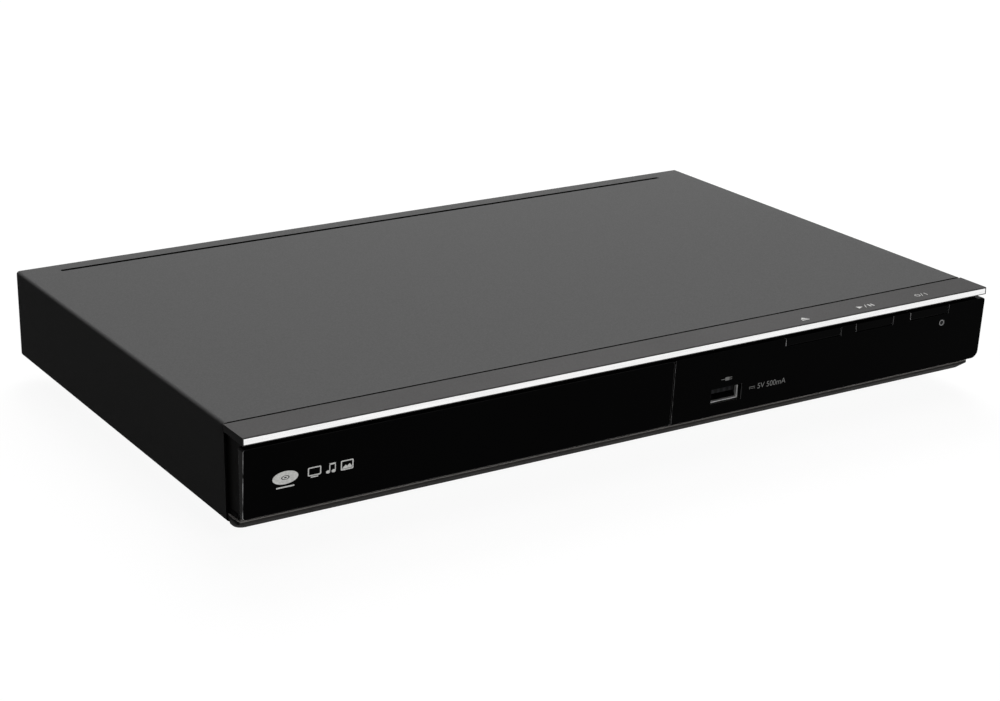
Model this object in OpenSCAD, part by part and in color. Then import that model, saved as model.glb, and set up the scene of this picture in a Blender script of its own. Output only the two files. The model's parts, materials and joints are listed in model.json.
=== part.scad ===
// Compact disc player with a motor-driven front tray.
// Millimetres. +X points right when the front is looked at, the front faces -Y, +Z is up.
// The origin lies on the table, under the middle of the whole player.

/* [Casing] */
// Width over the top strip of the front
body_w = 312; // [306:1:360]
// Height from the table to the top
body_h = 43; // [43:0.5:60]
// Depth from the front edge to the rear edge of the cover
body_d = 200.8; // [199:0.2:260]
// Reach of the jacks behind the cover
jack_reach = 8.2; // [7:0.1:12]
// Height of the cover's lower edge above the table
ride_h = 8.8; // [7.5:0.1:9.5]
// Sheet thickness of the cover
cover_t = 0.7; // [0.5:0.1:1]
// Distance of each cover side inside the end of the top strip
cover_inset = 0.3; // [0:0.1:1]
// Outer bend radius of the cover
bend_r = 1.2; // [1.2:0.1:4]
// Width of the flange under each cover side
flange_w = 9; // [5:0.5:14]
// Height of the lip that laps the rear panel
rear_lip_h = 7; // [6:0.5:9]
// Length of the slot in the cover's top
vent_len = 281.4; // [150:0.2:290]
// Width of the slot in the cover's top
vent_w = 2.0; // [1:0.1:3]
// Distance from the slot to the cover's rear edge
vent_back = 7.5; // [6.5:0.1:20]

/* [Chassis] */
// Sheet thickness of the pan
pan_t = 0.8; // [0.6:0.1:1.2]
// Height of the pan's side walls
pan_wall_h = 20; // [8:0.5:26]
// Sheet thickness of the rear panel
rear_t = 0.8; // [0.6:0.1:1.2]
// Gap between the pan's walls and the cover
case_gap = 0.3; // [0.2:0.05:1]
// Distance of the feet inside the cover's sides
foot_x = 29.7; // [21.7:0.5:60]
// Distance of the front feet behind the front edge
foot_front = 42; // [38:1:70]
// Distance of the rear feet from the cover's rear edge
foot_rear = 28; // [22:1:60]
// Radius of a foot pad
foot_r = 8; // [6:0.5:10]
// Height of a foot pad
foot_pad_h = 3; // [1.5:0.1:4]
// Radius of a foot's stamped bowl where it leaves the pan
stamp_r = 15; // [12:0.5:18]

/* [Front] */
// Depth of the top strip
strip_d = 14.25; // [12:0.25:18]
// Height of the strip at its ends
strip_h = 2.8; // [2.4:0.1:4]
// Thickness of the strip's plate
plate_t = 2; // [1.5:0.1:2.2]
// Thickness of the strip's front lip
lip_t = 2.2; // [1.8:0.1:3]
// Height of the silver trim
trim_h = 2.05; // [1.5:0.05:3]
// Thickness of the silver trim
trim_t = 0.8; // [0.4:0.1:1.2]
// Dark edge above the trim
trim_top = 0.45; // [0.2:0.05:1]
// Distance from the trim's end to the strip's end
trim_end = 0.4; // [0.4:0.1:4]
// Step from the cover's top down to the strip's top
strip_step = 0.2; // [0:0.05:0.5]
// Dark gap between the trim and the gloss panels
panel_gap = 1.6; // [1:0.1:2.5]
// Height of the gloss panels' lower edge above the cover's lower edge
panel_rise = 5.2; // [4:0.1:7]
// Distance that the gloss face leans back at its bottom
panel_lean = 1.8; // [0:0.1:3]
// Thickness of the gloss panels at their bottom
panel_t = 2; // [1.5:0.1:3]
// Corner radius of the right panel
corner_r = 3; // [1:0.5:5]
// Corner radius of the tray door
door_r = 1; // [0.5:0.1:2]
// Place of the seam between the tray door and the right panel
seam_x = 10.6; // [4:0.2:14]
// Gap at the front's seams
seam_gap = 0.4; // [0.3:0.05:0.6]
// Running gap behind the tray door
door_gap = 0.4; // [0.3:0.05:1]
// Distance of the chin behind the front edge
chin_set = 9.3; // [8:0.1:11]
// Distance that the chin hangs below the cover
chin_drop = 0.7; // [0.2:0.1:2]
// Corner radius of the chin at its bottom
chin_r = 3; // [1:0.5:4]
// Distance that the chin's ridge stands ahead of its bottom
chin_lean = 3; // [0:0.1:4]
// Height of the chin's ridge
ridge_h = 1.1; // [0.6:0.1:2]
// Distance of the ridge below the gloss panels
ridge_gap = 2.3; // [1:0.1:3]
// Corner radius of the chin's ridge
ridge_r = 1.2; // [0.5:0.1:3]
// Wall thickness of the front frame
frame_t = 2.4; // [2:0.1:2.8]
// Distance of the frame's side walls inside the strip's ends
side_set = 1.5; // [1.5:0.1:3]

/* [Keys, indicator and USB socket] */
// Distances of the eject, play and power keys' middles from the right end
key_x = [83.6, 54.8, 27.9]; // [20:0.1:110]
// Widths of the eject, play and power keys
key_w = [25.2, 17.4, 18.6]; // [12:0.2:26]
// Height of the keys
key_h = 2.9; // [2:0.1:3.5]
// Gap around a key
key_gap = 0.45; // [0.3:0.05:0.8]
// Travel of a key
key_travel = 0.6; // [0.3:0.1:1]
// Radius of the indicator lens
lens_r = 1.25; // [0.8:0.05:2]
// Distance of the indicator from the right end
lens_x = 20.9; // [15:0.1:32]
// Distance of the indicator below the panels' upper edge
lens_drop = 6.9; // [6:0.1:9]
// Distance of the USB socket's middle from the seam beside the tray door
usb_x = 23.8; // [19.4:0.1:27.4]
// Middle of the USB socket above the panels' lower edge
usb_rise = 7.4; // [6:0.1:9]
// Outer width of the USB socket's shell
usb_w = 13.1; // [13:0.1:13.3]
// Outer height of the USB socket's shell
usb_h = 5.7; // [5.6:0.1:5.9]
// Distance of the USB socket's shell behind the gloss face
shell_set = 1.9; // [0.4:0.1:2.4]
// Wall of the USB and HDMI socket shells
shell_t = 0.3; // [0.25:0.05:0.5]
// Distance of the front board behind the frame
front_board_gap = 10.6; // [10:0.1:12]

/* [Tray] */
// Radius of a full-size disc
disc_r = 60; // [60:1:60]
// Radius of a small disc
small_disc_r = 40; // [40:1:40]
// Play around a disc in its recess
disc_play = 0.75; // [0.5:0.05:1]
// Width of the tray between its wings
tray_w = 130; // [128:0.5:131]
// Width of each guide wing
wing_w = 4.5; // [3:0.1:5]
// Height of a guide wing
wing_h = 2.2; // [1.8:0.1:2.6]
// Height of the tray's rim
tray_h = 4.8; // [4.2:0.1:5.2]
// Depth of the full-size recess
recess_deep = 2; // [1.6:0.1:2.4]
// Further depth of the small recess
small_deep = 1.2; // [0.8:0.1:1.2]
// Width of the slot for the turntable and the pickup
tray_slot_w = 54; // [54:0.5:60]
// Distance from the tray's front to the disc recess
tray_nose = 18; // [14:0.5:20]
// Travel of the tray
tray_travel = 140; // [120:1:141]

/* [Loader] */
// Height of the loader's middle above the middle between pan and roof
loader_lift = 0.05; // [-0.6:0.05:0.5]
// Thickness of the loader's floor
loader_t = 2; // [1.6:0.1:2.2]
// Thickness of the loader's side walls
wall_t = 2.4; // [1.8:0.1:3]
// Distance of the loader behind the front edge
loader_set = 19; // [18:0.1:22]
// Running gap between the tray and its guides
guide_gap = 0.3; // [0.25:0.05:0.5]
// Thickness of the clamp bridge
bridge_t = 1.2; // [0.8:0.1:1.4]
// Length of the clamp bridge along the tray's path
bridge_l = 56; // [40:1:64]
// Radius of the clamper
clamper_r = 15.5; // [14:0.1:16.5]
// Radius of the clamper's neck
neck_r = 11.5; // [10:0.1:12]
// Thickness of a disc
disc_t = 1.2; // [1.2:0.1:1.2]
// Lift of a playing disc off the tray
play_lift = 1.2; // [0.8:0.1:1.4]

/* [Gears and belt] */
// Pressure angle of all teeth
tooth_angle = 25; // [20:1:25]
// Module of the fast gear pair
fast_module = 0.8; // [0.7:0.05:0.8]
// Teeth of the belt wheel's pinion
pinion_teeth = 15; // [15:2:15]
// Teeth of the drive gear's large stage
large_teeth = 38; // [34:2:38]
// Module of the rack pair
rack_module = 1; // [0.8:0.1:1]
// Teeth of the drive gear's rack stage
rack_gear_teeth = 22; // [18:4:22]
// Width of the fast gears
gear_w = 3.6; // [3:0.1:3.6]
// Width of the rack stage
rack_w = 4; // [3:0.1:4]
// Backlash of each tooth pair
backlash = 0.2; // [0.15:0.05:0.3]
// Outer radius of the belt wheel
wheel_r = 14.6; // [12:0.1:14.6]
// Width of the belt wheel
wheel_w = 3.2; // [2.6:0.1:3.2]
// Outer radius of the motor pulley
pulley_r = 3.6; // [3.2:0.1:4]
// Thickness of the belt
belt_t = 1.2; // [0.8:0.1:1.4]
// Distance from the belt wheel to the motor
belt_span = 44.8; // [40:0.2:48]
// Radius of the loading motor
motor_r = 10; // [8:0.5:11]
// Radius of the gear posts
gear_post_r = 2; // [1.5:0.1:2.5]
// Radial running gap of a turning fit
run_gap = 0.06; // [0.03:0.01:0.08]

/* [Traverse] */
// Distance from the spindle to the cradle's front
cradle_front = 24.2; // [23.5:0.1:25]
// Distance from the spindle to the cradle's hinge
hinge_back = 92; // [88:0.5:92]
// Half width of the cradle
cradle_half = 42; // [40:0.5:43]
// Angle that the cradle drops to free the disc
cradle_drop = 2.6; // [1.5:0.1:2.6]
// Travel of the cam slider
slider_travel = 18; // [16:0.5:18]
// Thickness of the cam slider
slider_t = 2.8; // [2:0.1:2.8]
// Radius of the cradle's cam pins
pin_r = 1.25; // [1:0.05:1.3]
// Thickness of the traverse deck
deck_t = 1.2; // [0.8:0.1:1.4]
// Half width of the traverse deck
deck_half = 35; // [34.5:0.1:35.5]
// Radius of the spindle motor
spindle_r = 12.5; // [11:0.1:12.6]
// Radius of the turntable
table_r = 15.5; // [14:0.1:16]
// Radius of the hub that centres the disc
hub_r = 7.4; // [7.3:0.05:7.45]
// Radius of the guide rods
rod_r = 1.5; // [1:0.1:1.5]
// Half distance between the guide rods
rod_x = 23; // [23:0.1:23.4]
// Radius of the lead screw
screw_r = 1.5; // [1.2:0.1:1.6]
// Distance of the lead screw from the spindle's line
lead_x = 29; // [29:0.1:29.3]
// Distance from the spindle to the lens at the disc's inner tracks
lens_in = 23; // [23:0.1:24]
// Travel of the pickup
sled_travel = 35; // [30:0.5:35]

/* [Boards and sockets] */
// Thickness of the circuit boards
board_t = 1.6; // [1.2:0.1:1.8]
// Height of the boards above the pan
board_lift = 6; // [4:0.1:6.5]
// Distance of the main board right of the middle of its bay
main_x0 = 0.875; // [-1:0.125:2]
// Width of the main board
main_w = 90; // [88:0.5:94]
// Length of the main board
main_l = 84; // [76:0.5:90]
// Distance of the power board from the pan's right wall
power_x0 = 3.9; // [3:0.1:5]
// Width of the power board
power_w = 46; // [44:0.5:47]
// Length of the power board
power_l = 122; // [118:0.5:126]
// Distance of the HDMI socket's middle from the main board's left edge
hdmi_x = 22; // [16:0.5:28]
// Distance of the first jack from the main board's left edge
jack_x = 49; // [48:0.5:50]
// Distance between the jacks
jack_pitch = 14; // [13:0.1:14.2]
// Radius of a jack's sleeve
jack_r = 4.15; // [4.1:0.05:4.2]
// Distance of the mains inlet's middle from the power board's left edge
inlet_x = 23; // [20:0.5:26]
// Distance between the mains inlet's pins
pin_pitch = 8.6; // [8.6:0.1:8.6]

/* [Screws] */
// Radius of the screws' shanks
shank_r = 1.2; // [1:0.05:1.4]
// Radius of the screws' heads
head_r = 2.8; // [2.4:0.1:3]
// Height of the screws' heads
head_h = 1.6; // [1.2:0.1:1.8]

/* [Hidden] */
$fn = 64;

// Small distances that many pieces share
eps = 0.01;
cut = 1;
seat_gap = 0.3;
level_gap = 0.8;
screw_gap = 0.05;
hole_r = shank_r + 0.4;
bore_r = shank_r + screw_gap;

// Casing planes
front_y = -(body_d + jack_reach) / 2;
rear_y = front_y + body_d;
jack_end_y = rear_y + jack_reach;
seam_y = front_y + strip_d;
cover_half = body_w / 2 - cover_inset;
cover_y0 = seam_y + seam_gap;
roof_z = body_h - cover_t;
pan_z0 = ride_h + cover_t;
pan_z1 = pan_z0 + pan_t;
pan_half = cover_half - cover_t - case_gap;
pan_bend_r = max(bend_r - cover_t, pan_t) + case_gap;
rear_y1 = rear_y - cover_t;
rear_y0 = rear_y1 - rear_t;

// Front planes
plate_z = body_h - plate_t;
strip_z1 = body_h - strip_step;
trim_z1 = strip_z1 - trim_top;
trim_z0 = trim_z1 - trim_h;
panel_z0 = ride_h + panel_rise;
panel_z1 = trim_z0 - panel_gap;
face_y = front_y + 0.1;
door_back_y = face_y + panel_lean + panel_t;
frame_y0 = door_back_y + door_gap;
frame_y1 = frame_y0 + frame_t;
frame_half = body_w / 2 - side_set;
chin_y = front_y + chin_set;
chin_z = ride_h - chin_drop;
chin_half = body_w / 2 - 0.6;
frame_tail_y = cover_y0 + 5.4;
pan_y0 = cover_y0 + 2.7;
door_x0 = -body_w / 2 + 0.1;
door_x1 = seam_x - seam_gap / 2;
key_mid = [for (d = key_x) body_w / 2 - d];
lens_mid = body_w / 2 - lens_x;
usb_mid = seam_x + usb_x;
key_z1 = panel_z1 - 0.2;
key_z0 = key_z1 - key_h;
lens_z = panel_z1 - lens_drop;
usb_z = panel_z0 + usb_rise;
front_board_y = frame_y1 + front_board_gap;
front_board_x1 = body_w / 2 - 5;

// Loader levels, from the pan up
load_x = (door_x0 + door_x1) / 2;
load_y0 = front_y + loader_set;
gear_seat = 0.6;
tray_gap = 0.4;
clamp_room = 3.8;
flange_t = 1.2;
stack_h = loader_t + gear_seat + gear_w + wheel_w + rack_w + 2 * level_gap + tray_gap + tray_h
    + clamp_room + bridge_t + seat_gap + flange_t;
load_z0 = (pan_z1 + roof_z - stack_h) / 2 + loader_lift;
load_z1 = load_z0 + loader_t;
gear_z = load_z1 + gear_seat;
wheel_z = gear_z + gear_w + level_gap;
rack_z = wheel_z + wheel_w + level_gap;
tray_z0 = rack_z + rack_w + tray_gap;
tray_z1 = tray_z0 + tray_h;
seat_z = tray_z1 - recess_deep;
pad_z = seat_z + play_lift;
clamper_z = pad_z + disc_t + 0.1;
bridge_z = tray_z1 + clamp_room;
bridge_z1 = bridge_z + bridge_t;
flange_z = bridge_z1 + seat_gap;

// Loader plan
recess_r = disc_r + disc_play;
disc_y = door_back_y + tray_nose + recess_r;
wing_half = tray_w / 2 + wing_w;
rack_over = 3.5;
drive_y = load_y0 + 17.5;
drive_x = -29;
rack_pitch_r = rack_module * rack_gear_teeth / 2;
rack_x = drive_x - rack_pitch_r;
wheel_x = drive_x + fast_module * (pinion_teeth + large_teeth) / 2;
motor_x = wheel_x + belt_span;
tray_y1 = drive_y + tray_travel + rack_over;
load_y1 = tray_y1 + 4.5;
load_half = wing_half + 1.1 + wall_t;
bridge_y0 = disc_y - bridge_l / 2;
bridge_y1 = disc_y + bridge_l / 2;
bridge_screw_x = load_half - wall_t / 2;
groove_depth = 0.9;
wheel_groove_r = wheel_r - groove_depth;
pulley_groove_r = pulley_r - groove_depth;

// Traverse planes
cradle_y0 = disc_y - cradle_front;
hinge_y = disc_y + hinge_back;
cradle_y1 = hinge_y + 3;
motor_base_z = pad_z - 7.2;
deck_z = motor_base_z - deck_t;
damper_h = 3.6;
cradle_z1 = deck_z - damper_h;
cradle_z0 = cradle_z1 - 2.8;
hinge_z = load_z1 + 4;
hinge_r = 2;
opening_half = cradle_half + 2.5;
slider_y1 = cradle_y0 - 2.2;
slider_y0 = slider_y1 - slider_t;
slider_y = (slider_y0 + slider_y1) / 2;
slider_z0 = load_z1 + seat_gap;
cam_pin_z = load_z1 + 8.2;
cam_pin_x = 25;
cam_rise = (hinge_y - slider_y) * sin(cradle_drop);
deck_y0 = cradle_y0 + 6;
deck_y1 = hinge_y - 4;
damper_x = 31;
damper_y = [deck_y0 + 4.2, deck_y1 - 4.2];
damper_r = 4;
damper_places = [for (x = [-damper_x, damper_x], y = damper_y) [x, y]];
rod_z = motor_base_z + 1.8;
lens_y = disc_y + lens_in;
sled_y0 = lens_y - 9.2;
sled_l = 30;
sled_y1 = sled_y0 + sled_l;
rod_y0 = sled_y0 - 7.5;
rod_y1 = sled_y1 + sled_travel + 5;
lead_z = deck_z - 2.5;
lead_y0 = sled_y0 + 4;
lead_y1 = lead_y0 + 61;
sled_motor_r = 4.9;

// Boards
board_z0 = pan_z1 + board_lift;
board_z1 = board_z0 + board_t;
board_y1 = rear_y0 - 0.5;
main_y0 = board_y1 - main_l;
power_y0 = board_y1 - power_l;
power_left = pan_half - pan_t - power_x0 - power_w;
main_left = (load_x + load_half + power_left - main_w) / 2 + main_x0;
hdmi_mid = main_left + hdmi_x;
inlet_mid = power_left + inlet_x;
jack_z = board_z1 + 7.1;
jack_places = [for (i = [0 : 2]) main_left + jack_x + i * jack_pitch];
jack_screw_x = jack_places[0] + jack_pitch / 2;
jack_screw_z = jack_z - 4.2;
jack_collar_y = rear_y0 + 2.8;
hdmi_w = 15;
hdmi_h = 5.6;
cable_x = main_left + 66;
loader_cable_y = main_y0 + 11;
cable_w = 18;
cable_z = board_z1 + 8;
inlet_w = 24;
inlet_h = 14;
inlet_z = board_z1 + inlet_h / 2;
inlet_nose_w = 18.6;
inlet_nose_h = 10.6;
inlet_face_y = rear_y1 + 0.6;
inlet_deep = 12;
inlet_pin_y = inlet_face_y - inlet_deep - 3;
inlet_pin_x = [inlet_mid - pin_pitch / 2, inlet_mid + pin_pitch / 2];
main_posts = [for (x = [main_left + 4.5, main_left + main_w - 4.5], y = [main_y0 + 4.5, board_y1 - 18])
    [x, y]];
power_posts = [for (x = [power_left + 4, power_left + power_w - 4], y = [power_y0 + 4.5, board_y1 - 22])
    [x, y]];
front_posts = [for (x = [usb_mid + 17.6, body_w / 2 - 10], z = [panel_z0 + 5.5, panel_z1 - 5.1]) [x, z]];
loader_posts = [for (x = [6.5 - load_half, load_half - 6.5], y = [load_y0 + 7.5, load_y1 - 32])
    [load_x + x, y]];
rear_screw_x = [-cover_half + 35.7, 0, cover_half - 35.7];
roof_gap = 3.4;
can_top = roof_z - roof_gap;

// Chips: corner on the main board, width, length, height
chips = [[24, 22, 24, 24, 2], [56, 30, 18, 8, 1.2], [56, 14, 14, 10, 1.8]];
// Rows of capacitors: radius, height, distance in the row, first one from the board's corner
signal_cans = [3.2, 9, 9, 14, 12];
supply_cans = [4, 11, 11, 8, 20];
power_cans = [4.5, 13, 11, 8, 14];
can_groove = 0.4;
// Mains capacitor: radius, middle from the power board's corner
mains_can = [8, 16, 68];
// Transformer: middle from the power board's corner, core width and length, windings, core plate
transformer_at = [19, 42];
core_size = [24, 20];
winding_size = [22, 16];
core_t = 3;
transformer_drop = 4;
// Heat sink: distance from the board's right edge, middle, plate, length, fin reach and pitch
sink_edge = 6;
sink_t = 2;
sink_l = 28;
fin_reach = 2.4;
fin_pitch = 5;
fin_t = 1;
sink_drop = 2;
// Fuse: left end and middle from the power board's corner, length, radius, cap length
fuse_at = [12, 84];
fuse_l = 20;
fuse_r = 2.4;
fuse_cap = 5;
fuse_h = 4;
rear_screw_z = body_h - 3.9;

// ---------------------------------------------------------------- helpers

// Box between two corners
module box(x0, x1, y0, y1, z0, z1) {
    translate([x0, y0, z0]) cube([x1 - x0, y1 - y0, z1 - z0]);
}

// The right side for s = 1, its mirror image for s = -1
module side(s) {
    mirror([s < 0 ? 1 : 0, 0, 0]) children();
}

// Upright round post
module post(x, y, z0, z1, r) {
    translate([x, y, z0]) cylinder(h = z1 - z0, r = r);
}

// Round bar along Y
module bar_y(x, z, y0, y1, r) {
    translate([x, y1, z]) rotate([90, 0, 0]) cylinder(h = y1 - y0, r = r);
}

// Round bar along X
module bar_x(y, z, x0, x1, r) {
    translate([x0, y, z]) rotate([0, 90, 0]) cylinder(h = x1 - x0, r = r);
}

// Outline in X and Z, extruded along Y
module along_y(y0, y1) {
    translate([0, y1, 0]) rotate([90, 0, 0]) linear_extrude(y1 - y0) children();
}

// Outline in Y and Z, extruded along X
module along_x(x0, x1) {
    translate([x0, 0, 0]) rotate([90, 0, 90]) linear_extrude(x1 - x0) children();
}

// Rectangle with round corners, from corner to corner
module round_rect(x0, x1, y0, y1, r) {
    translate([x0 + r, y0]) square([x1 - x0 - 2 * r, y1 - y0]);
    translate([x0, y0 + r]) square([x1 - x0, y1 - y0 - 2 * r]);
    for (x = [x0 + r, x1 - r], y = [y0 + r, y1 - r])
        translate([x, y]) circle(r);
}

// The loader's own frame: X from the spindle's line
module at_loader() {
    translate([load_x, 0, 0]) children();
}

// Round part that turns about an upright axis: outline in radius and height
module turned(x, y) {
    translate([x, y, 0]) rotate_extrude() children();
}

// Screw along Z with its head's underside at z
module screw_down(x, y, z, length) {
    post(x, y, z - length, z + eps, shank_r);
    post(x, y, z, z + head_h, head_r);
}

// Degrees of the involute at radius r on the base circle rb
function involute_angle(rb, r) = let (a = acos(rb / r)) tan(a) * 180 / PI - a;

// Half a tooth's angle at radius r
function half_tooth(m, n, r) =
    let (pitch_r = m * n / 2, rb = pitch_r * cos(tooth_angle))
    (PI * m - backlash) / 2 / pitch_r * 90 / PI
    + involute_angle(rb, pitch_r) - involute_angle(rb, max(r, rb));

function polar(r, a) = [r * cos(a), r * sin(a)];

// Outline of a gear with n teeth, one tooth on +X
function gear_outline(m, n) =
    let (pitch_r = m * n / 2, tip = pitch_r + 0.9 * m, root = pitch_r - 1.2 * m,
         start = max(root, pitch_r * cos(tooth_angle)), steps = 4)
    [for (k = [0 : n - 1])
        let (mid = k * 360 / n)
        each concat(
            start > root ? [polar(root, mid - half_tooth(m, n, start))] : [],
            [for (i = [0 : steps]) let (r = start + (tip - start) * i / steps)
                polar(r, mid - half_tooth(m, n, r))],
            [for (i = [steps : -1 : 0]) let (r = start + (tip - start) * i / steps)
                polar(r, mid + half_tooth(m, n, r))],
            start > root ? [polar(root, mid + half_tooth(m, n, start))] : [])];

module gear(m, n, h) {
    linear_extrude(h) polygon(gear_outline(m, n));
}

// One straight-sided rack tooth that points to +X, with its pitch line at X = 0
module rack_tooth(m) {
    half = (PI * m - backlash) / 4;
    tip = 0.9 * m;
    root = 1.2 * m;
    slope = tan(tooth_angle);
    polygon([[-root - eps, -half - root * slope], [tip, -half + tip * slope],
             [tip, half - tip * slope], [-root - eps, half + root * slope]]);
}

// Outline in Y and Z of a gloss panel that leans back, up to its back plane
module lean_outline(back_y) {
    polygon([[face_y, panel_z1], [face_y + panel_lean, panel_z0], [back_y, panel_z0], [back_y, panel_z1]]);
}

// Y of the gloss face at height z
function lean_y(z) = face_y + panel_lean * (panel_z1 - z) / (panel_z1 - panel_z0);

// ---------------------------------------------------------------- casing

module top_cover() {
    inner = cover_half - cover_t;
    open_half = cover_half - flange_w;
    lip_half = cover_half - bend_r;
    vent_y = rear_y - vent_back;
    vent_half = (vent_len - vent_w) / 2;
    color("#5c5c5c") {
        difference() {
            along_y(cover_y0, rear_y) difference() {
                round_rect(-cover_half, cover_half, ride_h, body_h, bend_r);
                round_rect(-inner, inner, pan_z0, roof_z, bend_r - cover_t);
                translate([-open_half, ride_h - cut]) square([2 * open_half, 2 * cut + cover_t]);
            }
            box(-vent_half, vent_half, vent_y - vent_w / 2, vent_y + vent_w / 2, roof_z - cut, body_h + cut);
            for (x = [-vent_half, vent_half]) post(x, vent_y, roof_z - cut, body_h + cut, vent_w / 2);
        }
        difference() {
            box(-lip_half, lip_half, rear_y1, rear_y, body_h - rear_lip_h, roof_z + eps);
            for (x = rear_screw_x) bar_y(x, rear_screw_z, rear_y1 - cut, rear_y + cut, hole_r);
        }
    }
}

module rear_screws() {
    color("#2a2a2a") {
        for (x = rear_screw_x) {
            bar_y(x, rear_screw_z, rear_y0 - 3, rear_y + eps, shank_r);
            bar_y(x, rear_screw_z, rear_y, rear_y + head_h, head_r);
        }
        bar_y(jack_screw_x, jack_screw_z, rear_y0 - 5, rear_y1 + eps, shank_r);
        bar_y(jack_screw_x, jack_screw_z, rear_y1, rear_y1 + head_h, head_r);
    }
}

foot_half = cover_half - foot_x;
foot_places = [for (x = [-foot_half, foot_half], y = [front_y + foot_front, rear_y - foot_rear]) [x, y]];

module chassis_pan() {
    neck = foot_r + 3;
    wall_y0 = frame_tail_y + 0.4;
    color("#9a9c9c") {
        difference() {
            union() {
                along_y(wall_y0, rear_y0) difference() {
                    round_rect(-pan_half, pan_half, pan_z0, roof_z, pan_bend_r);
                    round_rect(-pan_half + pan_t, pan_half - pan_t, pan_z1, roof_z + cut, pan_bend_r - pan_t);
                    translate([-pan_half - cut, pan_z1 + pan_wall_h]) square([2 * (pan_half + cut), body_h]);
                }
                box(-pan_half + pan_bend_r, pan_half - pan_bend_r, pan_y0, wall_y0 + eps, pan_z0, pan_z1);
                for (p = foot_places)
                    translate([p[0], p[1], foot_pad_h])
                        cylinder(h = pan_z0 - foot_pad_h + eps, r1 = neck, r2 = stamp_r);
            }
            for (p = foot_places)
                translate([p[0], p[1], foot_pad_h + pan_t])
                    cylinder(h = pan_z0 - foot_pad_h + eps, r1 = neck - pan_t / 2, r2 = stamp_r - pan_t / 2);
        }
        for (p = loader_posts) pan_post(p, load_z0, 4);
        for (p = concat(main_posts, power_posts)) pan_post(p, board_z0, 3);
    }
}

// Tapped post on the pan
module pan_post(p, top, r) {
    difference() {
        post(p[0], p[1], pan_z1 - eps, top, r);
        post(p[0], p[1], pan_z1, top + cut, bore_r);
    }
}

module foot_pads() {
    color("#1c1c1c")
        for (p = foot_places)
            turned(p[0], p[1])
                polygon([[0, 0], [foot_r - 0.5, 0], [foot_r, 0.5], [foot_r, foot_pad_h], [0, foot_pad_h]]);
}

module rear_panel() {
    top = roof_z - 0.2;
    flange_half = pan_half - bend_r;
    nose_w = inlet_nose_w / 2 + 0.2;
    nose_h = inlet_nose_h / 2 + 0.2;
    color("#232323")
        difference() {
            union() {
                along_y(rear_y0, rear_y1) round_rect(-pan_half, pan_half, pan_z0, top, bend_r);
                box(-flange_half, flange_half, rear_y0 - 4.4, rear_y0 + eps, top - rear_t, top);
            }
            for (x = rear_screw_x) bar_y(x, rear_screw_z, rear_y0 - cut, rear_y1 + cut, bore_r);
            bar_y(jack_screw_x, jack_screw_z, rear_y0 - cut, rear_y1 + cut, hole_r);
            for (x = jack_places) bar_y(x, jack_z, rear_y0 - cut, rear_y1 + cut, jack_r + 1.15);
            box(hdmi_mid - hdmi_w / 2 - 0.3, hdmi_mid + hdmi_w / 2 + 0.3, rear_y0 - cut, rear_y1 + cut,
                board_z1 - 0.3, board_z1 + hdmi_h + 0.3);
            box(inlet_mid - nose_w, inlet_mid + nose_w, rear_y0 - cut, rear_y1 + cut,
                inlet_z - nose_h, inlet_z + nose_h);
        }
}

// ---------------------------------------------------------------- front

module front_frame() {
    mouth_half = wing_half + 0.8;
    color("#262524") {
        difference() {
            union() {
                box(-frame_half, frame_half, frame_y0, frame_y1, panel_z0 + 0.4, plate_z);
                for (s = [-1, 1]) side(s)
                    box(frame_half - 2, frame_half, frame_y1 - eps, frame_tail_y, panel_z0 - 3, plate_z);
                box(-frame_half, frame_half, frame_y0, pan_y0 - 0.6, panel_z0 - 0.2, panel_z0 + 1.4);
                for (p = front_posts) bar_y(p[0], p[1], frame_y1 - eps, front_board_y, 3);
            }
            box(load_x - mouth_half, load_x + mouth_half, frame_y0 - cut, frame_y1 + cut,
                rack_z - 0.6, tray_z1 + 1.2);
            for (i = [0 : 2]) {
                hole_half = key_w[i] / 2 + key_gap;
                box(key_mid[i] - hole_half, key_mid[i] + hole_half, frame_y0 - cut, frame_y1 + cut,
                    key_z0 - key_gap, key_z1 + key_gap);
            }
            bar_y(lens_mid, lens_z, frame_y0 - cut, frame_y1 + cut, lens_r + 0.15);
            box(usb_mid - usb_w / 2 - 0.2, usb_mid + usb_w / 2 + 0.2, frame_y0 - cut, frame_y1 + cut,
                usb_z - usb_h / 2 - 0.2, usb_z + usb_h / 2 + 0.2);
            for (p = front_posts) bar_y(p[0], p[1], frame_y1 + 2, front_board_y + cut, bore_r);
        }
        chin();
    }
}

// Chin under the gloss front, with tongues that lap under the pan
module chin() {
    top = panel_z0 - 0.2 + eps;
    tail = cover_y0 - 0.4;
    ridge_z = panel_z0 - ridge_gap;
    difference() {
        union() {
            hull() {
                translate([0, 0, ridge_z - ridge_h]) linear_extrude(ridge_h)
                    round_rect(-chin_half, chin_half, chin_y - chin_lean, tail + chin_r, ridge_r);
                translate([0, 0, chin_z]) linear_extrude(0.3)
                    round_rect(-chin_half + 0.8, chin_half - 0.8, chin_y, tail + chin_r, chin_r);
            }
            box(-chin_half + 0.8, chin_half - 0.8, chin_y - 0.8, tail + 1, ridge_z - eps, top);
        }
        box(-chin_half - cut, chin_half + cut, tail, tail + 2 * chin_r, chin_z - cut, top + cut);
        box(-chin_half + 2.2, chin_half - 2.2, chin_y + 2, tail + cut, pan_z0, top - 1.6);
    }
    inner = cover_half - flange_w - 0.5;
    box(-inner, inner, tail - eps, pan_y0 + 9, chin_z, pan_z0);
}

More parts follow.
